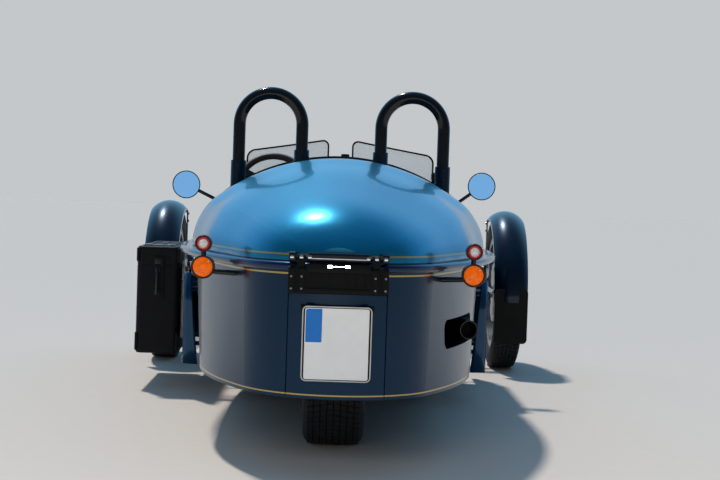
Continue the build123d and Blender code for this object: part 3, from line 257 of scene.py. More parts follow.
def lens(name, color, glow):
    """Moulded lamp lens, a little lit from inside."""
    shader = Shader(name, Coat_Weight=0.4, Coat_Roughness=0.02, Emission_Strength=glow, Specular_IOR_Level=0.3,
                    Emission_Color=(*color, 1.0))
    return shader.surface(shader.ramp(shader.cells(130.0), [(0.1, shade(color, 0.7)), (0.8, color)]),
                          (80.0, 0.08, 0.16))


def leather(name, color, grain=420.0):
    """Grained hide, paler and duller in patches where it wears."""
    shader = Shader(name, Sheen_Weight=0.12)
    shader.bump(shader.cells(grain), 0.35, 0.0006)
    return shader.surface(shader.ramp(shader.noise(14.0), [(0.3, shade(color, 0.65)), (0.7, color)]),
                          (40.0, 0.42, 0.62))


def mirror_glass(name):
    """Silvered glass tinted pale blue and given a faint blue glow, both a painted reflection of the sky."""
    shader = Shader(name, Metallic=1.0, Emission_Strength=0.75, Emission_Color=(0.16, 0.42, 0.80, 1.0))
    return shader.surface(shader.ramp(shader.noise(5.0), [(0.2, (0.45, 0.70, 0.95)), (0.9, (0.55, 0.80, 1.0))]),
                          (30.0, 0.02, 0.04))


FINISH = {}
NODE_FINISH = {
    "body": "cockpit_surround bonnet dashboard",
    "deck": "tail_deck",
    "flank": "tub tail_tub",
    "belt": "belt_rail",
    "blade": "blades",
    "guard": "guard_left guard_right hoop_sleeves",
    "gloss_black": "deck_leaf hoops screen_rims scuttle_fittings gauges lamps exhaust mirrors",
    "dull_black": "tail_hinge",
    "satin_black": "steering_wheel swingarm grille",
    "matte_black": "tunnel radiators side_case",
    "hide_black": "coaming",
    "rubber": "flap_left flap_right plate_frame",
    "white": "plate",
    "silver": "controls knuckle_left knuckle_right wishbones headlamps engine",
    "steel": "steering_rack track_rods side_rails",
    "rim": "rim_fl rim_fr rim_rear",
    "tyre": "tyre_fl tyre_fr tyre_rear",
    "glass": "screens headlamp_glasses",
    "mirror": "mirror_glasses",
    "red": "tail_lenses",
    "orange": "indicator_lenses",
    "leather": "seat_left seat_right",
}
# Heights between which a painted line runs
DECK_LINES = [(0.6405, 0.6455)]
FLANK_LINES = [(0.5865, 0.5915), (0.2460, 0.2500)]


def build_finishes(settings):
    """Make every finish, under the name that the pieces call it by."""
    deep, bright, flank_shade_deep, flank_shade_bright, line = (
        tuple(getattr(settings.paint, key)) for key in ("deep", "bright", "flank_shade_deep", "flank_shade_bright", "line"))
    dull = {"Specular_IOR_Level": 0.25}
    return {
        "body": paint("body_blue", deep, bright),
        "deck": paint("deck_blue", deep, bright, DECK_LINES, line, 0.45),
        # The flanks take a darker copy of the coach blue: painted shade and a painted reflection of the dark ground
        "flank": paint("flank_shaded_blue", flank_shade_deep, flank_shade_bright, FLANK_LINES, line, 0.25),
        # The belt bead takes a darker copy of the coach blue: painted shade
        "belt": paint("belt_shaded_blue", (0.0, 0.010, 0.038), (0.0, 0.036, 0.12), coat=0.5),
        "blade": paint("blade_blue", (0.0, 0.028, 0.075), (0.0, 0.075, 0.17), coat=0.5),
        "guard": paint("guard_blue", (0.0, 0.006, 0.017), (0.0, 0.022, 0.050), coat=0.6),
        "gloss_black": plain("black_enamel", (0.004, 0.005, 0.007), 0.2, bump=0.03, Coat_Weight=0.45,
                             Coat_Roughness=0.03, Specular_IOR_Level=0.2),
        "dull_black": plain("black_powder_coat", (0.004, 0.004, 0.004), 0.5, bump=0.2, Specular_IOR_Level=0.18),
        "satin_black": plain("black_satin", (0.010, 0.010, 0.011), 0.38, bump=0.1),
        "matte_black": plain("black_moulding", (0.006, 0.006, 0.007), 0.6, bump=0.4, grain=1500.0, **dull),
        "rubber": plain("flap_rubber", (0.010, 0.010, 0.008), 0.72, bump=0.35, **dull),
        "tyre": plain("tyre_rubber", (0.012, 0.012, 0.013), 0.78, bump=0.4, grain=500.0),
        "silver": plain("cast_metal", (0.50, 0.51, 0.52), 0.36, 1.0, 700.0, 0.25, 0.12),
        "rim": plain("wheel_metal", (0.26, 0.27, 0.28), 0.32, 1.0, bump=0.1, vary=0.15),
        "steel": plain("brushed_steel", (0.42, 0.43, 0.44), 0.28, 1.0, bump=0.1, vary=0.12),
        "dark_steel": plain("dark_steel", (0.07, 0.07, 0.075), 0.25, 1.0, bump=0.1, vary=0.2),
        "bolt": plain("bolt_steel", (0.55, 0.55, 0.54), 0.25, 1.0, bump=0.05, vary=0.2),
        "frame_grey": plain("frame_grey", (0.60, 0.59, 0.56), 0.4, bump=0.08),
        "glass": clear_glass("screen_glass", (0.80, 0.88, 0.88), 0.26),
        "lamp_glass": clear_glass("lamp_glass", (0.92, 0.95, 0.97), 0.22),
        "mirror": mirror_glass("mirror_glass"),
        "leather": leather("seat_leather", tuple(settings.seats.cover)),
        "hide_black": leather("roll_leather", (0.018, 0.016, 0.015)),
        "grip": leather("grip_leather", (0.022, 0.019, 0.017), 700.0),
        "thread": plain("seat_thread", (0.35, 0.22, 0.10), 0.7, bump=0.2),
        "white": plain("plate_white", (0.84, 0.83, 0.80), 0.3, bump=0.02, vary=0.05),
        "plate_blue": plain("plate_blue", (0.0, 0.17, 0.56), 0.3, bump=0.02, vary=0.08),
        "dial": plain("dial_cream", (0.75, 0.72, 0.62), 0.5, bump=0.03, vary=0.06),
        "dial_black": plain("dial_black", (0.01, 0.01, 0.01), 0.5, bump=0.05),
        "needle": plain("needle_red", (0.6, 0.03, 0.01), 0.35, bump=0.02),
        "bezel_brown": plain("bezel_brown", (0.05, 0.012, 0.006), 0.35, bump=0.05),
        "orange": lens("indicator_orange", (1.0, 0.18, 0.003), 0.18),
        "red": lens("tail_red", (0.55, 0.03, 0.018), 0.10),
        "pale": lens("tail_pale", (0.78, 0.72, 0.70), 0.06),
        "chrome": plain("chrome", (0.82, 0.84, 0.86), 0.06, 1.0, bump=0.0, vary=0.04),
        "led": lens("plate_lamp", (0.93, 0.97, 1.0), settings.light.glow),
        "floor": plain("floor_pale", (0.66, 0.58, 0.505), 0.85, bump=0.0, vary=0.02, Specular_IOR_Level=0.1),
    }


# Mesh helpers

def linked(name, data):
    """New object in the scene."""
    made = bpy.data.objects.new(name, data)
    bpy.context.scene.collection.objects.link(made)
    return made


def as_mesh(bm, name):
    """New mesh from a bmesh, which is freed."""
    mesh = bpy.data.meshes.new(name)
    bm.to_mesh(mesh)
    bm.free()
    return mesh


def to_piece(bm, name, finish, sharp=35.0, body="body"):
    """Close a bmesh as a named piece that rides on a body."""
    bmesh.ops.recalc_face_normals(bm, faces=bm.faces)
    mesh = as_mesh(bm, name)
    mesh.materials.append(FINISH[finish])
    mesh.shade_smooth()
    mesh.set_sharp_from_angle(angle=math.radians(sharp))
    piece = linked(name, mesh)
    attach(piece, body)
    return piece


def fresh(count):
    """As many empty bmeshes."""
    return [bmesh.new() for _ in range(count)]


def evaluated(piece):
    """New mesh of what an object's modifiers make of it."""
    graph = bpy.context.evaluated_depsgraph_get()
    return bpy.data.meshes.new_from_object(piece.evaluated_get(graph))


def absorb(bm, mesh):
    """Add a mesh to a bmesh and drop it."""
    bm.from_mesh(mesh)
    bpy.data.meshes.remove(mesh)


def aim(place, axis):
    """Matrix that puts a shape's Z along an axis at a place."""
    return Matrix.Translation(place) @ Vector(axis).to_track_quat("Z", "Y").to_matrix().to_4x4()


def met(node, start, way):
    """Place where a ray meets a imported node."""
    hit, place, *_ = bpy.data.objects[node].ray_cast(Vector(start), way)
    if not hit:
        raise RuntimeError(f"{node} isn't met from {tuple(start)}")
    return place


def spun(bm, profile, origin, axis, steps=48, closed=False):
    """Spin a short profile of (along, radius) points round an axis through origin."""
    origin, axis = Vector(origin), Vector(axis).normalized()
    out = axis.orthogonal().normalized()
    points = [bm.verts.new(origin + axis * along + out * radius) for along, radius in profile]
    pairs = list(zip(points, points[1:]))
    if closed:
        pairs.append((points[-1], points[0]))
    edges = [bm.edges.new(pair) for pair in pairs]
    bmesh.ops.spin(bm, geom=points + edges, cent=origin, axis=axis, angle=TURN, steps=steps, use_merge=True)
    bmesh.ops.remove_doubles(bm, verts=bm.verts, dist=1e-6)


def ring(bm, origin, axis, radius, bar, steps=48, sides=10):
    """Round ring of a given bar radius."""
    turns = [TURN * i / sides for i in range(sides)]
    spun(bm, [(bar * math.sin(t), radius + bar * math.cos(t)) for t in turns], origin, axis, steps, True)


def cylinder(bm, place, axis, radius, depth, segments=32, bevel=0.0):
    """Round bar or disc whose base is at place and that runs along axis."""
    axis = Vector(axis).normalized()
    made = bmesh.ops.create_cone(bm, cap_ends=True, segments=segments, radius1=radius, radius2=radius, depth=depth,
                                 matrix=aim(Vector(place) + axis * depth / 2, axis))
    round_edges(bm, made["verts"], bevel)


def round_edges(bm, verts, width, segments=2):
    """Bevel the sharp edges between the given vertices."""
    if width:
        edges = {e for v in verts for e in v.link_edges if e.is_manifold and e.calc_face_angle(0) > 0.6}
        bmesh.ops.bevel(bm, geom=list(edges), offset=width, offset_type="OFFSET", affect="EDGES",
                        segments=segments, profile=0.5, material=-1)


def block(bm, low, high, bevel=0.001, segments=2):
    """Rounded block between two corners."""
    low, high = Vector(low), Vector(high)
    size = [max(abs(h - l), 1e-5) for l, h in zip(low, high)]
    made = bmesh.ops.create_cube(bm, size=1, matrix=Matrix.Translation((low + high) / 2) @ Matrix.Diagonal((*size, 1)))
    round_edges(bm, made["verts"], bevel, segments)


def thicken(bm, move):
    """Extrude all the faces of a bmesh."""
    made = bmesh.ops.extrude_face_region(bm, geom=list(bm.faces))
    bmesh.ops.translate(bm, verts=[v for v in made["geom"] if isinstance(v, bmesh.types.BMVert)], vec=move)


def framed(low, high, inset, y, depth, corner, width=0.0):
    """Upright plate inside two corners, with rounded corners and its face at y, or only a band along its edge."""
    bm = bmesh.new()
    verts = bmesh.ops.create_grid(bm, x_segments=1, y_segments=1, size=1)["verts"]
    for vert in verts:
        vert.co = (low[0] + inset if vert.co.x < 0 else high[0] - inset, y,
                   low[2] + inset if vert.co.y < 0 else high[2] - inset)
    bmesh.ops.bevel(bm, geom=list(verts), offset=corner, offset_type="OFFSET", affect="VERTICES", segments=6,
                    profile=0.5, material=-1)
    if width:
        bmesh.ops.inset_region(bm, faces=list(bm.faces), thickness=width, use_boundary=True, use_even_offset=True)
        inner = max(bm.faces, key=lambda f: len(f.verts))
        bmesh.ops.delete(bm, geom=[inner], context="FACES")
    thicken(bm, (0, depth, 0))
    return bm


def bolt(bm, place, axis, radius=0.006):
    """Hexagon bolt head on a washer."""
    axis = Vector(axis).normalized()
    cylinder(bm, place, axis, radius * 1.45, radius * 0.22, 24, radius * 0.05)
    cylinder(bm, Vector(place) + axis * radius * 0.2, axis, radius, radius * 0.75, 6, radius * 0.12)


def socket_screw(bm, place, axis, radius=0.004):
    """Cap screw with a sunk hexagon."""
    spun(bm, [(0, radius), (radius * 0.8, radius), (radius, radius * 0.85), (radius, radius * 0.55)],
         place, axis, 18)
    spun(bm, [(radius, radius * 0.55), (radius * 0.4, radius * 0.5), (radius * 0.4, 0)], place, axis, 6)


def clock(degrees):
    """Direction in an upright plane across the car, turned from straight up towards the right."""
    turn = math.radians(degrees)
    return X * math.sin(turn) + Z * math.cos(turn)


# Tyres with their tread, and the small pieces of the wheels
# Columns: node, body, middle x, station, outer radius, half width, rim radius, tread columns.
WHEELS = (
    ("tyre_fl", "wheel_fl", -TRACK, FRONT_AXLE, FRONT_R, 0.066, FRONT_RIM_R, 6),
    ("tyre_fr", "wheel_fr", TRACK, FRONT_AXLE, FRONT_R, 0.066, FRONT_RIM_R, 6),
    ("tyre_rear", "wheel_rear", 0.0, REAR_AXLE, REAR_R, 0.0995, REAR_RIM_R, 8),
)
TREAD_SHARE = 0.84
BLOCK_INSET = 0.0016
CROWN_DROP = 0.0035
NUTS = 5
NUT_CIRCLE = 0.037
NUT_R = 0.0085
REAR_DISC_STEP = 0.010
HUB_CAP = [(0.0, 0.024), (0.009, 0.024), (0.013, 0.020), (0.015, 0.010), (0.0155, 0.0)]


def tyre_profile(outer, half, rim, columns, groove):
    """Section of a tyre from bead to bead, and the half width of its tread."""
    mid = (outer + rim) / 2
    side = [(half * share, radius) for share, radius in (
        (0.66, rim + 0.0012), (0.76, rim + 0.009), (0.90, rim + 0.016), (0.93, rim + 0.020), (0.955, rim + 0.027),
        (0.99, mid - 0.008), (0.992, mid + 0.004), (0.975, mid + 0.006), (0.96, outer - 0.036),
        (0.985, outer - 0.034), (0.965, outer - 0.026), (0.92, outer - 0.017))]
    edge = half * TREAD_SHARE
    tread = [(edge - 2 * edge * i / columns) for i in range(columns + 1)]
    crown = [(x, outer - groove - CROWN_DROP * (x / edge) ** 2) for x in tread]
    return side + crown + [(-x, r) for x, r in reversed(side)], edge


class WHEELER_OT_tyres(bpy.types.Operator):
    """Spin the three tyres and raise the blocks of their tread"""
    bl_idname = "wheeler.tyres"
    bl_label = "Tyres"

    def execute(self, context):
        settings = context.scene.wheeler.tyres
        for node, body, x, y, outer, half, rim, columns in WHEELS:
            hub = Vector((x, y, outer))
            profile, edge = tyre_profile(outer, half, rim, columns, settings.groove)
            bm = bmesh.new()
            spun(bm, profile, hub, X, settings.blocks, True)
            bmesh.ops.recalc_face_normals(bm, faces=bm.faces)
            for vert in bm.verts:
                turn = settings.sweep * min(abs(vert.co.x - x), edge) / edge
                vert.co = hub + Matrix.Rotation(turn, 3, "X") @ (vert.co - hub)
            low = outer - settings.groove - 0.006
            tread = [f for f in bm.faces if abs(f.calc_center_median().x - x) < edge
                     and ((f.calc_center_median() - hub) * Vector((0, 1, 1))).length > low]
            bmesh.ops.inset_individual(bm, faces=tread, thickness=BLOCK_INSET, depth=settings.groove,
                                       use_even_offset=True)
            piece = to_piece(bm, node + "_tread", "tyre", 32.0, body)
            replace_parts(piece, node)
        return {"FINISHED"}


class WHEELER_OT_wheel_fittings(bpy.types.Operator):
    """Add the hub caps, wheel nuts and valves"""
    bl_idname = "wheeler.wheel_fittings"
    bl_label = "Wheel fittings"

    def execute(self, context):
        for _, body, x, y, outer, half, rim, _ in WHEELS:
            nuts = bmesh.new()
            sides = (int(math.copysign(1, x)),) if x else SIDES
            for side in sides:
                face = BOSS_HALF + (REAR_DISC_STEP if x == 0 and side == 1 else 0.0)
                for i in range(NUTS):
                    turn = TURN * i / NUTS
                    place = (x + side * face, y + NUT_CIRCLE * math.sin(turn), outer + NUT_CIRCLE * math.cos(turn))
                    bolt(nuts, place, X * side, NUT_R)
            side = sides[0]
            cylinder(nuts, (x + side * (half - 0.02), y, outer + rim - 0.030), X * side, 0.004, 0.022, 12, 0.0008)
            to_piece(nuts, body + "_nuts", "bolt", body=body)
            if x:
                cap = bmesh.new()
                spun(cap, HUB_CAP, (x + side * BOSS_HALF, y, outer), X * side, 40)
                to_piece(cap, body + "_cap", "chrome", 50.0, body)
        return {"FINISHED"}


# Seats, with side outlines of (station, height) corners
CUSHION = [(at(786), 0.183), (at(1168), 0.183), (at(1168), 0.312), (at(1120), 0.318), (at(795), 0.284)]
BACK = [(at(736), 0.262), (at(795), 0.262), (at(702), 0.700), (at(628), 0.700), (at(628), 0.410)]
PADS = (("cushion", CUSHION, Z), ("back", BACK, (Y + Z * 0.2).normalized()))
SEAT_INNER, SEAT_OUTER = 0.030, 0.400
PAD_INSET = 0.011
PAD_CUTS = 7
VOXEL = 0.0065
CLOTH_FRAMES = 20
SEAM_DEPTH = 0.009
SEAM_WIDTH = 0.0065
SEAM_FACING = 0.5


def pad_shape(outline, x0, x1):
    """Closed block with a side outline, divided for shaping."""
    bm = bmesh.new()
    bm.faces.new([bm.verts.new((x0, y, z)) for y, z in outline])
    thicken(bm, (x1 - x0, 0, 0))
    bmesh.ops.subdivide_edges(bm, edges=bm.edges, cuts=PAD_CUTS, use_grid_fill=True)
    bmesh.ops.recalc_face_normals(bm, faces=bm.faces)
    return bm


def applied(piece):
    """Swap a piece's mesh for what its modifiers make of it."""
    mesh = evaluated(piece)
    piece.modifiers.clear()
    piece.data = mesh


def swell(piece, pressure, travel):
    """Fill a closed pad as cloth under pressure, and keep each point within its travel."""
    start = [v.co.copy() for v in piece.data.vertices]
    cloth = piece.modifiers.new("Cloth", "CLOTH")
    cloth.settings.quality = 4
    cloth.settings.use_pressure = True
    cloth.settings.uniform_pressure_force = pressure
    cloth.settings.effector_weights.gravity = 0
    cloth.point_cache.frame_start = 1
    cloth.point_cache.frame_end = CLOTH_FRAMES
    for number in range(1, CLOTH_FRAMES + 1):
        bpy.context.scene.frame_set(number)
    applied(piece)
    bpy.context.scene.frame_set(1)
    for vert, place in zip(piece.data.vertices, start):
        move = vert.co - place
        if move.length > travel:
            vert.co = place + move * (travel / move.length)


def sew(mesh, x0, x1, flute, facing):
    """Press sewn channels into the side of a pad that faces a direction."""
    lines = [x0 + flute * (i + 1) for i in range(int((x1 - x0) / flute))]
    normals = [v.normal.copy() for v in mesh.vertices]
    for vert, normal in zip(mesh.vertices, normals):
        along = normal.dot(facing)
        if along < SEAM_FACING:
            continue
        near = min(abs(vert.co.x - line) for line in lines)
        vert.co -= normal * SEAM_DEPTH * math.exp(-(near / SEAM_WIDTH) ** 2) * min(1.0, (along - SEAM_FACING) * 4)


def pad(name, outline, facing, x0, x1, settings):
    """Padded and sewn piece between two places across the car."""
    piece = linked(name, as_mesh(pad_shape(outline, x0 + PAD_INSET, x1 - PAD_INSET), name))
    remesh = piece.modifiers.new("Skin", "REMESH")
    remesh.mode = "VOXEL"
    remesh.voxel_size = VOXEL
    applied(piece)
    swell(piece, settings.swell, settings.travel)
    smooth = bmesh.new()
    smooth.from_mesh(piece.data)
    for _ in range(3):
        bmesh.ops.smooth_vert(smooth, verts=smooth.verts, factor=0.5, use_axis_x=True, use_axis_y=True,
                              use_axis_z=True)
    bmesh.ops.subdivide_edges(smooth, edges=smooth.edges, cuts=1, smooth=0.6, use_grid_fill=True)
    smooth.to_mesh(piece.data)
    smooth.free()
    sew(piece.data, x0, x1, settings.flute, facing)
    piece.data.materials.clear()
    piece.data.materials.append(FINISH["leather"])
    piece.data.shade_smooth()
    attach(piece, "body")
    return piece


class WHEELER_OT_seats(bpy.types.Operator):
    """Swell and sew the seat cushions and backs"""
    bl_idname = "wheeler.seats"
    bl_label = "Seats"

    def execute(self, context):
        settings = context.scene.wheeler.seats
        for name, side in (("left", -1), ("right", 1)):
            x0, x1 = sorted((side * SEAT_INNER, side * SEAT_OUTER))
            made = [pad(f"seat_{part}_{name}", outline, facing, x0, x1, settings) for part, outline, facing in PADS]
            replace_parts(made[0], f"seat_{name}")
            shell = bmesh.new()
            for inset, y0, y1, z0, z1, bevel in ((0.012, at(800), at(1160), 0.1705, 0.178, 0.002),
                                                 (0.03, at(612), at(621), 0.40, 0.69, 0.003),
                                                 (0.05, at(621), at(700), 0.405, 0.415, 0.003)):
                block(shell, (x0 + inset, y0, z0), (x1 - inset, y1, z1), bevel)
            to_piece(shell, f"seat_frame_{name}", "satin_black")
        return {"FINISHED"}


# Steering wheel, gauges and switches
STEER_TILT = math.radians(25)
STEER_PLACE = Vector((-0.265, at(1123), 0.830))
STEER_AXIS = Vector((0, -math.cos(STEER_TILT), math.sin(STEER_TILT)))
GRIP_R = 0.138
GRIP_BAR = 0.0132
STITCHES = 60
WHEEL_SCREWS = 6
GAUGE_FACE_Y = 0.2062
GAUGE_Z = 0.800
DIAL_START, DIAL_SWEEP = -130, 260
# Columns: place across, count of numbers, step between them, needle's angle.
DIALS = ((-0.062, 9, 20, -95), (0.062, 7, 1, 20))
TICKS = 5
SWITCHES = 6
SWITCH_Z = 0.722


def digits(bm, text, place, size):
    """Add flat plain numbers that face the driver."""
    curve = bpy.data.curves.new("digits", "FONT")
    curve.body = text
    curve.size = size
    curve.align_x = "CENTER"
    curve.align_y = "CENTER"
    curve.extrude = 0.0002
    holder = linked("digits", curve)
    bpy.context.view_layer.update()
    mesh = evaluated(holder)
    mesh.transform(Matrix.Translation(place) @ Matrix.Rotation(math.radians(90), 4, "X"))
    absorb(bm, mesh)
    bpy.data.objects.remove(holder)


def dial_turn(share):
    """Direction of a mark at a share of a dial's sweep."""
    return clock(DIAL_START + DIAL_SWEEP * share)


def steer_turn(turn):
    """Direction from the steering wheel's middle to its rim."""
    return X * math.cos(turn) + STEER_AXIS.cross(X) * math.sin(turn)


class WHEELER_OT_cockpit(bpy.types.Operator):
    """Add the wheel's grip and horn button, the dials, needles and switches"""
    bl_idname = "wheeler.cockpit"
    bl_label = "Cockpit fittings"

    def execute(self, context):
        grip, stitches, horn, screws = fresh(4)
        ring(grip, STEER_PLACE, STEER_AXIS, GRIP_R, GRIP_BAR, 96, 14)
        for i in range(STITCHES):
            turn = TURN * i / STITCHES
            along = steer_turn(turn + TURN / 4)
            place = STEER_PLACE + steer_turn(turn) * (GRIP_R - GRIP_BAR - 0.0001)
            cylinder(stitches, place - along * 0.003 + STEER_AXIS * 0.002, along - STEER_AXIS * 0.5, 0.0008, 0.007, 6)
        spun(horn, [(0.013, 0.024), (0.0165, 0.023), (0.0185, 0.018), (0.0195, 0.0)], STEER_PLACE, STEER_AXIS, 40)
        for i in range(WHEEL_SCREWS):
            out = steer_turn(TURN * (i + 0.5) / WHEEL_SCREWS)
            socket_screw(screws, STEER_PLACE + STEER_AXIS * 0.003 + out * 0.0322, STEER_AXIS, 0.003)
        to_piece(grip, "steering_grip", "grip", 80.0, "steering_wheel")
        to_piece(stitches, "steering_stitches", "thread", body="steering_wheel")
        to_piece(horn, "horn_button", "chrome", 60.0, "steering_wheel")
        to_piece(screws, "steering_screws", "bolt", body="steering_wheel")
        self.gauges()
        self.switches()
        return {"FINISHED"}

    def gauges(self):
        faces, marks, needles, bezels, glasses = fresh(5)
        for x, count, step, needle_turn in DIALS:
            middle = Vector((x, GAUGE_FACE_Y, GAUGE_Z))
            cylinder(faces, middle, -Y, 0.0405, 0.0006, 48)
            ring(bezels, middle - Y * 0.0042, Y, 0.0432, 0.0023, 64, 8)
            cylinder(glasses, middle - Y * 0.0028, -Y, 0.0408, 0.0006, 48)
            face = middle - Y * 0.0006
            for i in range(count):
                out = dial_turn(i / (count - 1))
                cylinder(marks, face + out * 0.033, out, 0.0007, 0.006, 6)
                digits(marks, str(i * step), face + out * 0.0265, 0.0065)
            ticks = (count - 1) * TICKS
            for i in range(ticks + 1):
                out = dial_turn(i / ticks)
                cylinder(marks, face + out * 0.036, out, 0.0003, 0.003, 5)
            out = clock(needle_turn)
            pivot = middle - Y * 0.0015
            bmesh.ops.create_cone(needles, cap_ends=True, segments=8, radius1=0.0013, radius2=0.0003, depth=0.036,
                                  matrix=aim(pivot + out * 0.013, out))
            cylinder(needles, pivot + Y * 0.001, -Y, 0.004, 0.002, 20, 0.0004)
        to_piece(faces, "dial_faces", "dial")
        to_piece(marks, "dial_marks", "dial_black")
        to_piece(needles, "dial_needles", "needle")
        to_piece(bezels, "dial_bezels", "chrome", 80.0)
        to_piece(glasses, "dial_glasses", "lamp_glass")

    def switches(self):
        levers = bmesh.new()
        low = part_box("gauges")[0]
        for i in range(SWITCHES):
            foot = Vector(((i - (SWITCHES - 1) / 2) * 0.034, low.y, SWITCH_Z))
            lever = Vector((0, -1, -0.5 if i % 2 else 0.4)).normalized()
            ring(levers, foot, Y, 0.0058, 0.0014, 24, 8)
            cylinder(levers, foot, lever, 0.0018, 0.014, 12, 0.0005)
            bmesh.ops.create_icosphere(levers, subdivisions=2, radius=0.0032,
                                       matrix=Matrix.Translation(foot + lever * 0.014))
        to_piece(levers, "switch_levers", "chrome", 60.0)


# Lamps
LAMP_X = 0.402
LAMP_BACK = at(-437) - 0.0115
AMBER_Z, STOP_Z = 0.587, 0.657
HEADLAMP = Vector((0.430, at(2640) + 0.028, 0.640))
BOWL = [(0.010, 0.0825), (0.006, 0.070), (0.003, 0.050), (0.0015, 0.030), (0.001, 0.014)]
GLASS = [(0.010, 0.0828), (0.014, 0.0820), (0.019, 0.066), (0.0225, 0.040), (0.024, 0.0)]
GLASS_RIBS = 11
RIB_GAP = 0.0125
RIB_REACH = 0.074
RIB_SHARE = 0.86
PRISM_RINGS, PRISM_STEPS = 5, 24
PRISM_LIFT = 0.0014


def dome(bm, place, axis, radius, rise):
    """Add a domed lens whose faces each stand up as a small prism."""
    one = bmesh.new()
    turns = [math.pi / 2 * i / PRISM_RINGS for i in range(PRISM_RINGS + 1)]
    profile = [(0.0, radius)] + [(0.002 + rise * math.sin(t), radius * math.cos(t)) for t in turns]
    spun(one, profile, place, axis, PRISM_STEPS)
    bmesh.ops.recalc_face_normals(one, faces=one.faces)
    cells = [f for f in one.faces if len(f.verts) == 4 and abs(f.normal.dot(axis)) > 0.3]
    bmesh.ops.inset_individual(one, faces=cells, thickness=radius * 0.02, depth=PRISM_LIFT, use_even_offset=True)
    absorb(bm, as_mesh(one, "dome"))


class WHEELER_OT_tail_lamps(bpy.types.Operator):
    """Build the tail lamps, indicators and their bezels"""
    bl_idname = "wheeler.tail_lamps"
    bl_label = "Tail lamps"

    def execute(self, context):
        orange, red, pale, brown, chrome = fresh(5)
        for side in SIDES:
            amber, stop = (Vector((side * LAMP_X, LAMP_BACK, z)) for z in (AMBER_Z, STOP_Z))
            dome(orange, amber, -Y, 0.0285, 0.0075)
            spun(red, [(0.0, 0.0195), (0.007, 0.0195), (0.0095, 0.0175), (0.0095, 0.0140), (0.006, 0.0125),
                       (0.0, 0.0125)], stop, -Y, 48)
            spun(pale, [(0.0, 0.0120), (0.0085, 0.0120), (0.0105, 0.009), (0.0115, 0.0)], stop, -Y, 40)
            ring(brown, amber - Y * 0.006, Y, 0.0322, 0.0024, 56, 10)
            ring(brown, stop - Y * 0.006, Y, 0.0222, 0.0022, 48, 10)
            ring(chrome, stop - Y * 0.0098, Y, 0.0128, 0.0011, 40, 8)
            for degrees in (45, 225):
                socket_screw(chrome, amber - Y * 0.0085 + clock(degrees) * 0.024, -Y, 0.0022)
        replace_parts(to_piece(orange, "indicator_glass", "orange", 20.0), "indicator_lenses")
        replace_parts(to_piece(red, "tail_glass", "red", 50.0), "tail_lenses")
        to_piece(pale, "tail_glass_centres", "pale", 50.0)
        to_piece(brown, "lamp_bezels", "bezel_brown", 80.0)
        to_piece(chrome, "lamp_trim", "chrome", 60.0)
        return {"FINISHED"}


class WHEELER_OT_headlamps(bpy.types.Operator):
    """Build the headlamps' reflectors, bulbs and domed glasses"""
    bl_idname = "wheeler.headlamps"
    bl_label = "Headlamps"

    def execute(self, context):
        glass, bowl, trim = fresh(3)
        for side in SIDES:
            place = HEADLAMP * Vector((side, 1, 1))
            spun(bowl, BOWL, place, Y, 64)
            cylinder(bowl, place + Y * 0.001, Y, 0.011, 0.007, 24, 0.002)
            spun(glass, GLASS, place, Y, 64)
            for i in range(GLASS_RIBS):
                x = (i - GLASS_RIBS // 2) * RIB_GAP
                reach = RIB_SHARE * math.sqrt(RIB_REACH ** 2 - x ** 2)
                y = 0.018 - 0.012 * (abs(x) / 0.08) ** 2
                cylinder(glass, place + Vector((x, y, -reach)), Z, 0.0012, 2 * reach, 6)
            ring(trim, place + Y * 0.0125, Y, 0.0862, 0.0042, 72, 10)
            socket_screw(trim, place + Vector((0, 0.0125, -0.0905)), -Z, 0.0028)
        piece = to_piece(glass, "headlamp_domes", "lamp_glass", 60.0)
        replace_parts(piece, "headlamp_glasses")
        to_piece(bowl, "headlamp_bowls", "chrome", 60.0)
        to_piece(trim, "headlamp_rims", "chrome", 60.0)
        return {"FINISHED"}


# Plate, hinge and tail pipe
PIPE_YAW = math.radians(15)
PIPE_TIP = Vector((0.416, at(-200), 0.403))
TRIM_LOW, TRIM_HIGH = 0.6345, 0.6435


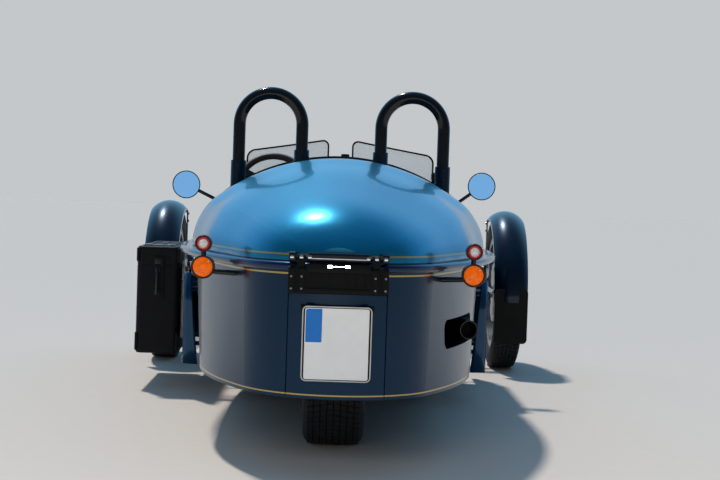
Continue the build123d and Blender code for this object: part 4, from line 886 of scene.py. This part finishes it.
class WHEELER_OT_tail_fittings(bpy.types.Operator):
    """Add the plate's band, edge and outline, its lamps, the hinge's trim and screws, and the tail pipe's lip"""
    bl_idname = "wheeler.tail_fittings"
    bl_label = "Tail fittings"

    def execute(self, context):
        low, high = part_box("plate")
        face = low.y
        band = framed((low.x, 0, high.z - 0.0978), (low.x + 0.0498, 0, high.z), 0.0018, face - 0.0004, 0.0007, 0.003)
        to_piece(band, "plate_band", "plate_blue")
        to_piece(framed(low, high, 0.0005, face - 0.0012, 0.0016, 0.009, 0.0016), "plate_edge", "white")
        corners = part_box("plate_frame")
        outline = framed(*corners, 0.0006, corners[0].y - 0.0010, 0.0014, 0.014, 0.0032)
        to_piece(outline, "plate_outline", "frame_grey")
        ears = bmesh.new()
        for side in SIDES:
            block(ears, (side * 0.074, face + 0.003, high.z - 0.016), (side * 0.1045, face + 0.011, high.z + 0.0095),
                  0.004, 3)
        to_piece(ears, "plate_ears", "matte_black")
        self.hinge()
        self.pipe()
        return {"FINISHED"}

    def hinge(self):
        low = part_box("tail_hinge")[0]
        back = low.y + 0.005
        housing, light, caps, bright, fixed = fresh(5)
        block(housing, (-0.090, back - 0.0105, 0.5965), (0.090, back, 0.6225), 0.0030, 3)
        for i in (-3, -2, -1, 1, 2, 3):
            x = i * 0.0245
            block(housing, (x - 0.0006, back - 0.0030, 0.542), (x + 0.0006, back + 0.001, 0.594), 0)
        for x in (-0.0245, 0.0245):
            block(light, (x - 0.0065, back - 0.0118, 0.6115), (x + 0.0065, back - 0.0098, 0.6185), 0.0012)
        for i in range(-6, 7):
            x = i * 0.0033
            block(light, (x - 0.0009, back - 0.0112, 0.6140), (x + 0.0009, back - 0.0098, 0.6160), 0)
        for side in SIDES:
            for bm, node, x in ((bright, "deck_leaf", side * 0.1310), (bright, "deck_leaf", side * 0.0815),
                                (fixed, "tail_hinge", side * 0.1050)):
                y = met(node, (x, BEHIND, 0.640), Y).y
                block(bm, (x - 0.0052, y - 0.0016, TRIM_LOW), (x + 0.0052, y + 0.0006, TRIM_HIGH), 0.0012)
            for x in (0.1028, 0.1315):
                for z in (0.551, 0.585):
                    socket_screw(caps, (side * x, low.y + 0.0002, z), -Y, 0.0032)
            spun(caps, [(0.0, 0.0062), (0.0022, 0.0058), (0.003, 0.0)], (side * 0.105, at(-722), 0.644), Z, 24)
        y = met("deck_leaf", (0.0, BEHIND, 0.636), Y).y
        block(bright, (-0.0765, y - 0.0012, TRIM_LOW), (0.0765, y + 0.0006, 0.6380), 0.0005)
        to_piece(housing, "plate_lamp_housing", "dull_black")
        to_piece(light, "plate_lamps", "led")
        to_piece(bright, "leaf_trim", "chrome", body="tail_deck")
        to_piece(fixed, "hinge_trim", "chrome")
        to_piece(caps, "hinge_screws", "steel", 50.0)

    def pipe(self):
        axis = Vector((math.sin(PIPE_YAW), -math.cos(PIPE_YAW), 0))
        lip, soot_and_shade = fresh(2)
        ring(lip, PIPE_TIP - axis * 0.0012, axis, 0.0283, 0.0021, 56, 10)
        to_piece(lip, "tail_pipe_lip", "dark_steel", 80.0)
        # Closed matte black bore inside the tip: soot, and painted shade where the pipe runs on out of sight
        spun(soot_and_shade, [(-0.004, 0.0257), (-0.058, 0.0257), (-0.0585, 0.0)], PIPE_TIP, axis, 40)
        to_piece(soot_and_shade, "tail_pipe_bore", "matte_black", 50.0)


# Mirrors, fasteners, blade tails and springs
MIRRORS = ((-0.632, 0.830), (0.589, 0.862))
HOOP_Y = at(648)
# Columns: height of a row, how far it curls in.
BLADE_ROWS = ((0.006, 0.062), (0.12, 0.050), (-0.12, 0.038), (-0.006, 0.030))
BLADE_STEPS = 8
SCUTTLE_CAP = [(-0.001, 0.0), (-0.001, 0.013), (0.006, 0.0125), (0.012, 0.0095), (0.036, 0.0095), (0.037, 0.0165),
               (0.039, 0.0175), (0.051, 0.0175), (0.054, 0.0155), (0.055, 0.0)]
COIL_START, COIL_STOP = 0.13, 0.46
COIL_TURNS, COIL_STEPS = 6, 144
COIL_R = 0.0315
WIRE_R = 0.0045


class WHEELER_OT_mirror_trim(bpy.types.Operator):
    """Add the mirrors' rims and the nuts of their stalks"""
    bl_idname = "wheeler.mirror_trim"
    bl_label = "Mirror trim"

    def execute(self, context):
        rims, nuts = fresh(2)
        y = at(1350)
        for x, z in MIRRORS:
            side = math.copysign(1, x)
            ring(rims, (x, y + 0.0004, z), Y, 0.0555, 0.0021, 72, 10)
            cylinder(nuts, (x - side * 0.012, y + 0.029, z - 0.008), (-side, 0.1, -0.6), 0.011, 0.014, 6, 0.0015)
        to_piece(rims, "mirror_rims", "gloss_black", 80.0)
        to_piece(nuts, "mirror_nuts", "gloss_black")
        return {"FINISHED"}


class WHEELER_OT_fasteners(bpy.types.Operator):
    """Add the bolts of the blades and guards and the hoops' screws"""
    bl_idname = "wheeler.fasteners"
    bl_label = "Fasteners"

    def execute(self, context):
        bolts, clamps = fresh(2)
        for side in SIDES:
            for step in (-0.345, 0, 0.345):
                for rise in (-0.110, 0.110):
                    bolt(bolts, (side * 0.599, at(1495) + step, 0.305 + rise), X * side, 0.0085)
            for outer, top in ((-1, 0.970), (1, 0.925)):
                x = side * (0.260 + outer * 0.115)
                for drop in (0.014, 0.046):
                    socket_screw(clamps, (x, HOOP_Y - 0.0278, top - drop), -Y, 0.0052)
                ring(clamps, (x, HOOP_Y, top - 0.0012), Z, 0.0262, 0.0016, 48, 8)
        to_piece(bolts, "blade_bolts", "bolt")
        to_piece(clamps, "hoop_screws", "gloss_black", 60.0)
        for name, side in (("left", -1), ("right", 1)):
            guards = bmesh.new()
            for inner, y, z, radius in ((0.0843, 0.040, 0.690, 0.0055), (0.0843, 0.040, 0.655, 0.0055),
                                        (0.0843, -0.344, 0.382, 0.0055), (0.0843, -0.318, 0.382, 0.0055),
                                        (0.0742, 0.120, 0.375, 0.005), (0.0742, 0.120, 0.341, 0.005)):
                bolt(guards, (side * (TRACK - inner), FRONT_AXLE + y, z), X * -side, radius)
            to_piece(guards, f"guard_bolts_{name}", "bolt", body=f"knuckle_{name}")
        return {"FINISHED"}


class WHEELER_OT_blade_tails(bpy.types.Operator):
    """Curl the rear end of each side blade in towards the body, and stand the cap on the scuttle"""
    bl_idname = "wheeler.blade_tails"
    bl_label = "Blade tails and scuttle cap"

    def execute(self, context):
        low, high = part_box("blades")
        tails, cap = fresh(2)
        for side in SIDES:
            made = bmesh.ops.create_grid(tails, x_segments=BLADE_STEPS, y_segments=len(BLADE_ROWS) - 1, size=1)
            for vert in made["verts"]:
                turn = math.pi / 4 * (vert.co.x + 1)
                height, reach = BLADE_ROWS[round((vert.co.y + 1) / 2 * (len(BLADE_ROWS) - 1))]
                vert.co = (side * (0.5985 - reach * (1 - math.cos(turn))), low.y + 0.010 - 0.026 * math.sin(turn),
                           height + (low.z if height > 0 else high.z))
        piece = to_piece(tails, "blade_tails", "blade", 60.0)
        plate = piece.modifiers.new("Plate", "SOLIDIFY")
        plate.thickness = 0.003
        plate.offset = 0
        x, y = 0.020, at(1352)
        spun(cap, SCUTTLE_CAP, (x, y, met("cockpit_surround", (x, y, ABOVE), -Z).z), Z, 40)
        to_piece(cap, "scuttle_cap", "gloss_black", 40.0)
        return {"FINISHED"}


class WHEELER_OT_springs(bpy.types.Operator):
    """Wind the coil springs round the struts"""
    bl_idname = "wheeler.springs"
    bl_label = "Springs"

    def execute(self, context):
        wound, cups = fresh(2)
        for side in SIDES:
            foot = Vector((side * 0.655, FRONT_AXLE, 0.230))
            run = Vector((side * 0.220, FRONT_AXLE, 0.590)) - foot
            axis = run.normalized()
            out = axis.orthogonal().normalized()
            place = foot + run * COIL_START
            made = bmesh.ops.create_circle(wound, segments=8, radius=WIRE_R,
                                           matrix=aim(place + out * COIL_R, axis.cross(out)))
            verts = made["verts"]
            edges = list({e for v in verts for e in v.link_edges})
            bmesh.ops.spin(wound, geom=verts + edges, cent=place, axis=axis, angle=TURN * COIL_TURNS,
                           dvec=run * (COIL_STOP - COIL_START) / COIL_STEPS, steps=COIL_STEPS)
            for share in (COIL_START - 0.012, COIL_STOP + 0.004):
                spun(cups, [(0.0, 0.0245), (0.0, 0.037), (0.005, 0.0375), (0.005, 0.0245)], foot + run * share, axis,
                     40, True)
        bmesh.ops.holes_fill(wound, edges=[e for e in wound.edges if e.is_boundary], sides=0)
        to_piece(wound, "strut_springs", "gloss_black", 60.0)
        to_piece(cups, "strut_cups", "silver", 50.0)
        return {"FINISHED"}


# Seal ahead of the tail deck
SEAL_HALF = 0.46
SEAL_ROWS = 46
SEAL_T = 0.002


def underside(node, x, y):
    """Height of the lower face of a shell at a place."""
    return met(node, met(node, (x, y, ABOVE), -Z) - Z * 0.0005, -Z).z


def seal_section(x):
    """Corners of the seal's section, as station and height, at a place across."""
    front = underside("cockpit_surround", x, -0.430) - 0.0008
    rear = underside("tail_deck", x, -0.450) - 0.0045
    return [(-0.4250, front), (-0.4372, front), (-0.4395, rear), (-0.4620, rear), (-0.4620, rear - SEAL_T),
            (-0.4375, rear - SEAL_T), (-0.4352, front - SEAL_T), (-0.4250, front - SEAL_T)]


class WHEELER_OT_deck_seal(bpy.types.Operator):
    """Lay the rubber seal under the seam ahead of the tail deck"""
    bl_idname = "wheeler.deck_seal"
    bl_label = "Deck seal"

    def execute(self, context):
        context.view_layer.update()
        bm = bmesh.new()
        sections = [seal_section(SEAL_HALF * (2 * i / SEAL_ROWS - 1)) for i in range(SEAL_ROWS + 1)]
        corners = len(sections[0])
        made = bmesh.ops.create_grid(bm, x_segments=SEAL_ROWS, y_segments=corners, size=1)
        for vert in made["verts"]:
            row = round((vert.co.x + 1) / 2 * SEAL_ROWS)
            corner = round((vert.co.y + 1) / 2 * corners) % corners
            vert.co = (SEAL_HALF * (2 * row / SEAL_ROWS - 1), *sections[row][corner])
        bmesh.ops.remove_doubles(bm, verts=bm.verts, dist=1e-6)
        bmesh.ops.holes_fill(bm, edges=[e for e in bm.edges if e.is_boundary], sides=0)
        to_piece(bm, "deck_seal", "rubber")
        return {"FINISHED"}


class WHEELER_OT_case_fittings(bpy.types.Operator):
    """Add the side case's bumpers, ribs, latches, handle, lock and strips"""
    bl_idname = "wheeler.case_fittings"
    bl_label = "Case fittings"

    def execute(self, context):
        low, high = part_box("side_case")
        rear, front = at(1200), at(1800)
        bumpers, ribs, metal, plate, strips = fresh(5)
        for x in (low.x + 0.004, high.x - 0.004):
            for y in (rear + 0.004, front - 0.004):
                for z0, z1 in ((low.z + 0.012, low.z + 0.085), (high.z - 0.062, high.z - 0.008)):
                    block(bumpers, (x - 0.0055, y - 0.0055, z0), (x + 0.0055, y + 0.0055, z1), 0.003, 3)
        for i in range(7):
            y = rear + 0.075 * (i + 1)
            for z0, z1 in ((low.z + 0.040, 0.470), (0.520, high.z - 0.018)):
                block(ribs, (low.x - 0.0032, y - 0.006, z0), (low.x + 0.002, y + 0.006, z1), 0.002)
        for i in range(3):
            x = low.x + 0.035 + i * 0.051
            block(ribs, (x - 0.004, rear + 0.05, high.z - 0.001), (x + 0.004, front - 0.05, high.z + 0.003), 0.002)
        for y in (rear + 0.15, front - 0.15):
            block(metal, (low.x - 0.0065, y - 0.016, 0.468), (low.x + 0.001, y + 0.016, 0.528), 0.0025, 3)
            block(metal, (low.x - 0.0095, y - 0.010, 0.476), (low.x - 0.005, y + 0.010, 0.512), 0.002)
        x = (low.x + high.x) / 2
        back = low.y
        for z in (0.392, 0.484):
            block(metal, (x - 0.011, back - 0.006, z - 0.010), (x + 0.011, back + 0.001, z + 0.010), 0.002)
            cylinder(metal, (x, back - 0.004, z), -Y, 0.0055, 0.022, 20)
        cylinder(metal, (x, back - 0.0225, 0.384), Z, 0.0065, 0.108, 24, 0.002)
        block(plate, (x - 0.013, back - 0.0018, 0.506), (x + 0.013, back + 0.0005, 0.530), 0.0008)
        socket_screw(plate, (x, back - 0.0016, 0.518), -Y, 0.005)
        y = rear + 0.037
        block(strips, (low.x + 0.020, y - 0.007, high.z - 0.001), (high.x - 0.020, y + 0.007, high.z + 0.0055), 0.002)
        for share in (0.25, 0.75):
            x = low.x + (high.x - low.x) * share
            block(strips, (x - 0.014, y - 0.015, high.z - 0.001), (x + 0.014, y + 0.015, high.z + 0.0085), 0.002)
        to_piece(bumpers, "case_bumpers", "matte_black")
        to_piece(ribs, "case_ribs", "matte_black")
        to_piece(metal, "case_latches", "satin_black", 45.0)
        to_piece(plate, "case_lock", "satin_black")
        to_piece(strips, "case_strips", "steel")
        return {"FINISHED"}


# Stage: floor, light and the camera fitted to the photograph's view
CAMERA_PLACE = (-0.01885, REAR_AXLE - 4.9776, 0.8278)
CAMERA_YAW = 0.0176
CAMERA_PITCH = -0.0322
CAMERA_ROLL = 0.0334
FOCAL_PX = 1528.5
IMAGE_W = 720
SENSOR_MM = 36.0
FLOOR_HALF = 60
SUN_FROM = (-0.229, 0.443, 0.867)
SUN_WIDTH = math.radians(4)
SUN_COLOR = (1.0, 0.98, 0.95)
FILL_PLACE = Vector((-1.0, -7.0, 2.2))
FILL_TARGET = Vector((0, -1.5, 0.4))
FILL_SIZE = 3.0
SKY_TOP = (0.10, 0.22, 0.40)
SKY_AHEAD = [(0.0, (0.10, 0.28, 0.48)), (0.17, (0.22, 0.56, 0.92)), (0.60, (0.26, 0.58, 0.90)), (1.0, SKY_TOP)]
SKY_BEHIND = [(0.0, (0.10, 0.11, 0.12)), (0.5, (0.05, 0.09, 0.15)), (1.0, SKY_TOP)]
BACKDROP = (0.555, 0.576, 0.587)


def camera_matrix():
    """Place and turn of the camera, from its yaw, pitch and roll."""
    cy, sy = math.cos(CAMERA_YAW), math.sin(CAMERA_YAW)
    cp, sp = math.cos(CAMERA_PITCH), math.sin(CAMERA_PITCH)
    forward = Vector((sy * cp, cy * cp, sp))
    level = Vector((cy, -sy, 0))
    rise = level.cross(forward)
    right = level * math.cos(CAMERA_ROLL) + rise * math.sin(CAMERA_ROLL)
    up = rise * math.cos(CAMERA_ROLL) - level * math.sin(CAMERA_ROLL)
    turn = Matrix((right, up, -forward)).transposed().to_4x4()
    return Matrix.Translation(CAMERA_PLACE) @ turn


def build_sky(strength):
    """Sky that is bluer ahead of the car than behind it, with a pale backdrop low ahead."""
    world = bpy.data.worlds.new("sky")
    bpy.context.scene.world = world
    world.use_nodes = True
    graph = Graph(world.node_tree)
    split = graph.node("ShaderNodeSeparateXYZ")
    graph.link(graph.node("ShaderNodeTexCoord").outputs["Generated"], split.inputs["Vector"])
    ahead, height = split.outputs["Y"], split.outputs["Z"]
    sky = graph.mix(graph.span(ahead, From_Min=-0.2, From_Max=0.5), graph.ramp(height, SKY_BEHIND),
                    graph.ramp(height, SKY_AHEAD))
    screen = graph.mix(graph.span(height, From_Min=0.15, From_Max=0.165), BACKDROP, sky)
    seen = graph.mix(graph.span(ahead, From_Min=0.90, From_Max=0.93), sky, screen)
    background = graph.tree.nodes["Background"]
    graph.link(seen, background.inputs["Color"])
    background.inputs["Strength"].default_value = strength


class WHEELER_OT_stage(bpy.types.Operator):
    """Add the pale floor, the soft lights and the camera"""
    bl_idname = "wheeler.stage"
    bl_label = "Stage"

    def execute(self, context):
        settings = context.scene.wheeler.light
        bm = bmesh.new()
        bmesh.ops.create_grid(bm, x_segments=1, y_segments=1, size=FLOOR_HALF)
        floor = linked("floor", as_mesh(bm, "floor"))
        floor.data.materials.append(FINISH["floor"])
        build_sky(settings.sky)
        sun = bpy.data.lights.new("key light", "SUN")
        sun.energy = settings.key
        sun.angle = SUN_WIDTH
        sun.color = SUN_COLOR
        linked("key light", sun).rotation_euler = Vector(SUN_FROM).to_track_quat("Z", "Y").to_euler()
        soft = bpy.data.lights.new("fill light", "AREA")
        soft.size = FILL_SIZE
        soft.energy = settings.fill
        card = linked("fill light", soft)
        card.location = FILL_PLACE
        card.rotation_euler = (FILL_PLACE - FILL_TARGET).to_track_quat("Z", "Y").to_euler()
        card.visible_glossy = False
        camera = bpy.data.cameras.new("photo view")
        camera.sensor_width = SENSOR_MM
        camera.lens = SENSOR_MM * FOCAL_PX / IMAGE_W
        holder = linked("photo view", camera)
        holder.matrix_world = camera_matrix()
        context.scene.camera = holder
        context.scene.view_settings.view_transform = "Standard"
        return {"FINISHED"}


class WHEELER_OT_finishes(bpy.types.Operator):
    """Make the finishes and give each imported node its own"""
    bl_idname = "wheeler.finishes"
    bl_label = "Finishes"

    def execute(self, context):
        FINISH.update(build_finishes(context.scene.wheeler))
        for finish, nodes in NODE_FINISH.items():
            for node in nodes.split():
                materials = bpy.data.objects[node].data.materials
                materials.clear()
                materials.append(FINISH[finish])
        return {"FINISHED"}


class CarSettings(bpy.types.PropertyGroup):
    """All settings of the car's dressing"""
    paint: PointerProperty(type=PaintSettings)
    tyres: PointerProperty(type=TyreSettings)
    seats: PointerProperty(type=SeatSettings)
    light: PointerProperty(type=LightSettings)


GROUPS = (PaintSettings, TyreSettings, SeatSettings, LightSettings, CarSettings)
OPERATORS = (
    WHEELER_OT_finishes, WHEELER_OT_tyres, WHEELER_OT_wheel_fittings, WHEELER_OT_cockpit, WHEELER_OT_tail_lamps,
    WHEELER_OT_headlamps, WHEELER_OT_tail_fittings, WHEELER_OT_mirror_trim, WHEELER_OT_fasteners,
    WHEELER_OT_blade_tails, WHEELER_OT_springs, WHEELER_OT_deck_seal, WHEELER_OT_case_fittings, WHEELER_OT_seats,
    WHEELER_OT_stage,
)


class WHEELER_PT_panel(bpy.types.Panel):
    """Sidebar list of the settings and the dressing steps"""
    bl_label = "Three wheeler"
    bl_idname = "WHEELER_PT_panel"
    bl_space_type = "VIEW_3D"
    bl_region_type = "UI"
    bl_category = "Three wheeler"

    def draw(self, context):
        settings = context.scene.wheeler
        for group in (settings.paint, settings.tyres, settings.seats, settings.light):
            for name in group.bl_rna.properties.keys():
                if name not in ("rna_type", "name"):
                    self.layout.prop(group, name)
        for operator in OPERATORS:
            self.layout.operator(operator.bl_idname)


CLASSES = (*GROUPS, *OPERATORS, WHEELER_PT_panel)


def register():
    for cls in CLASSES:
        bpy.utils.register_class(cls)
    bpy.types.Scene.wheeler = PointerProperty(type=CarSettings)


def unregister():
    del bpy.types.Scene.wheeler
    for cls in reversed(CLASSES):
        bpy.utils.unregister_class(cls)


def main():
    register()
    for operator in OPERATORS:
        group, name = operator.bl_idname.split(".")
        getattr(getattr(bpy.ops, group), name)()


if __name__ == "__main__":
    main()
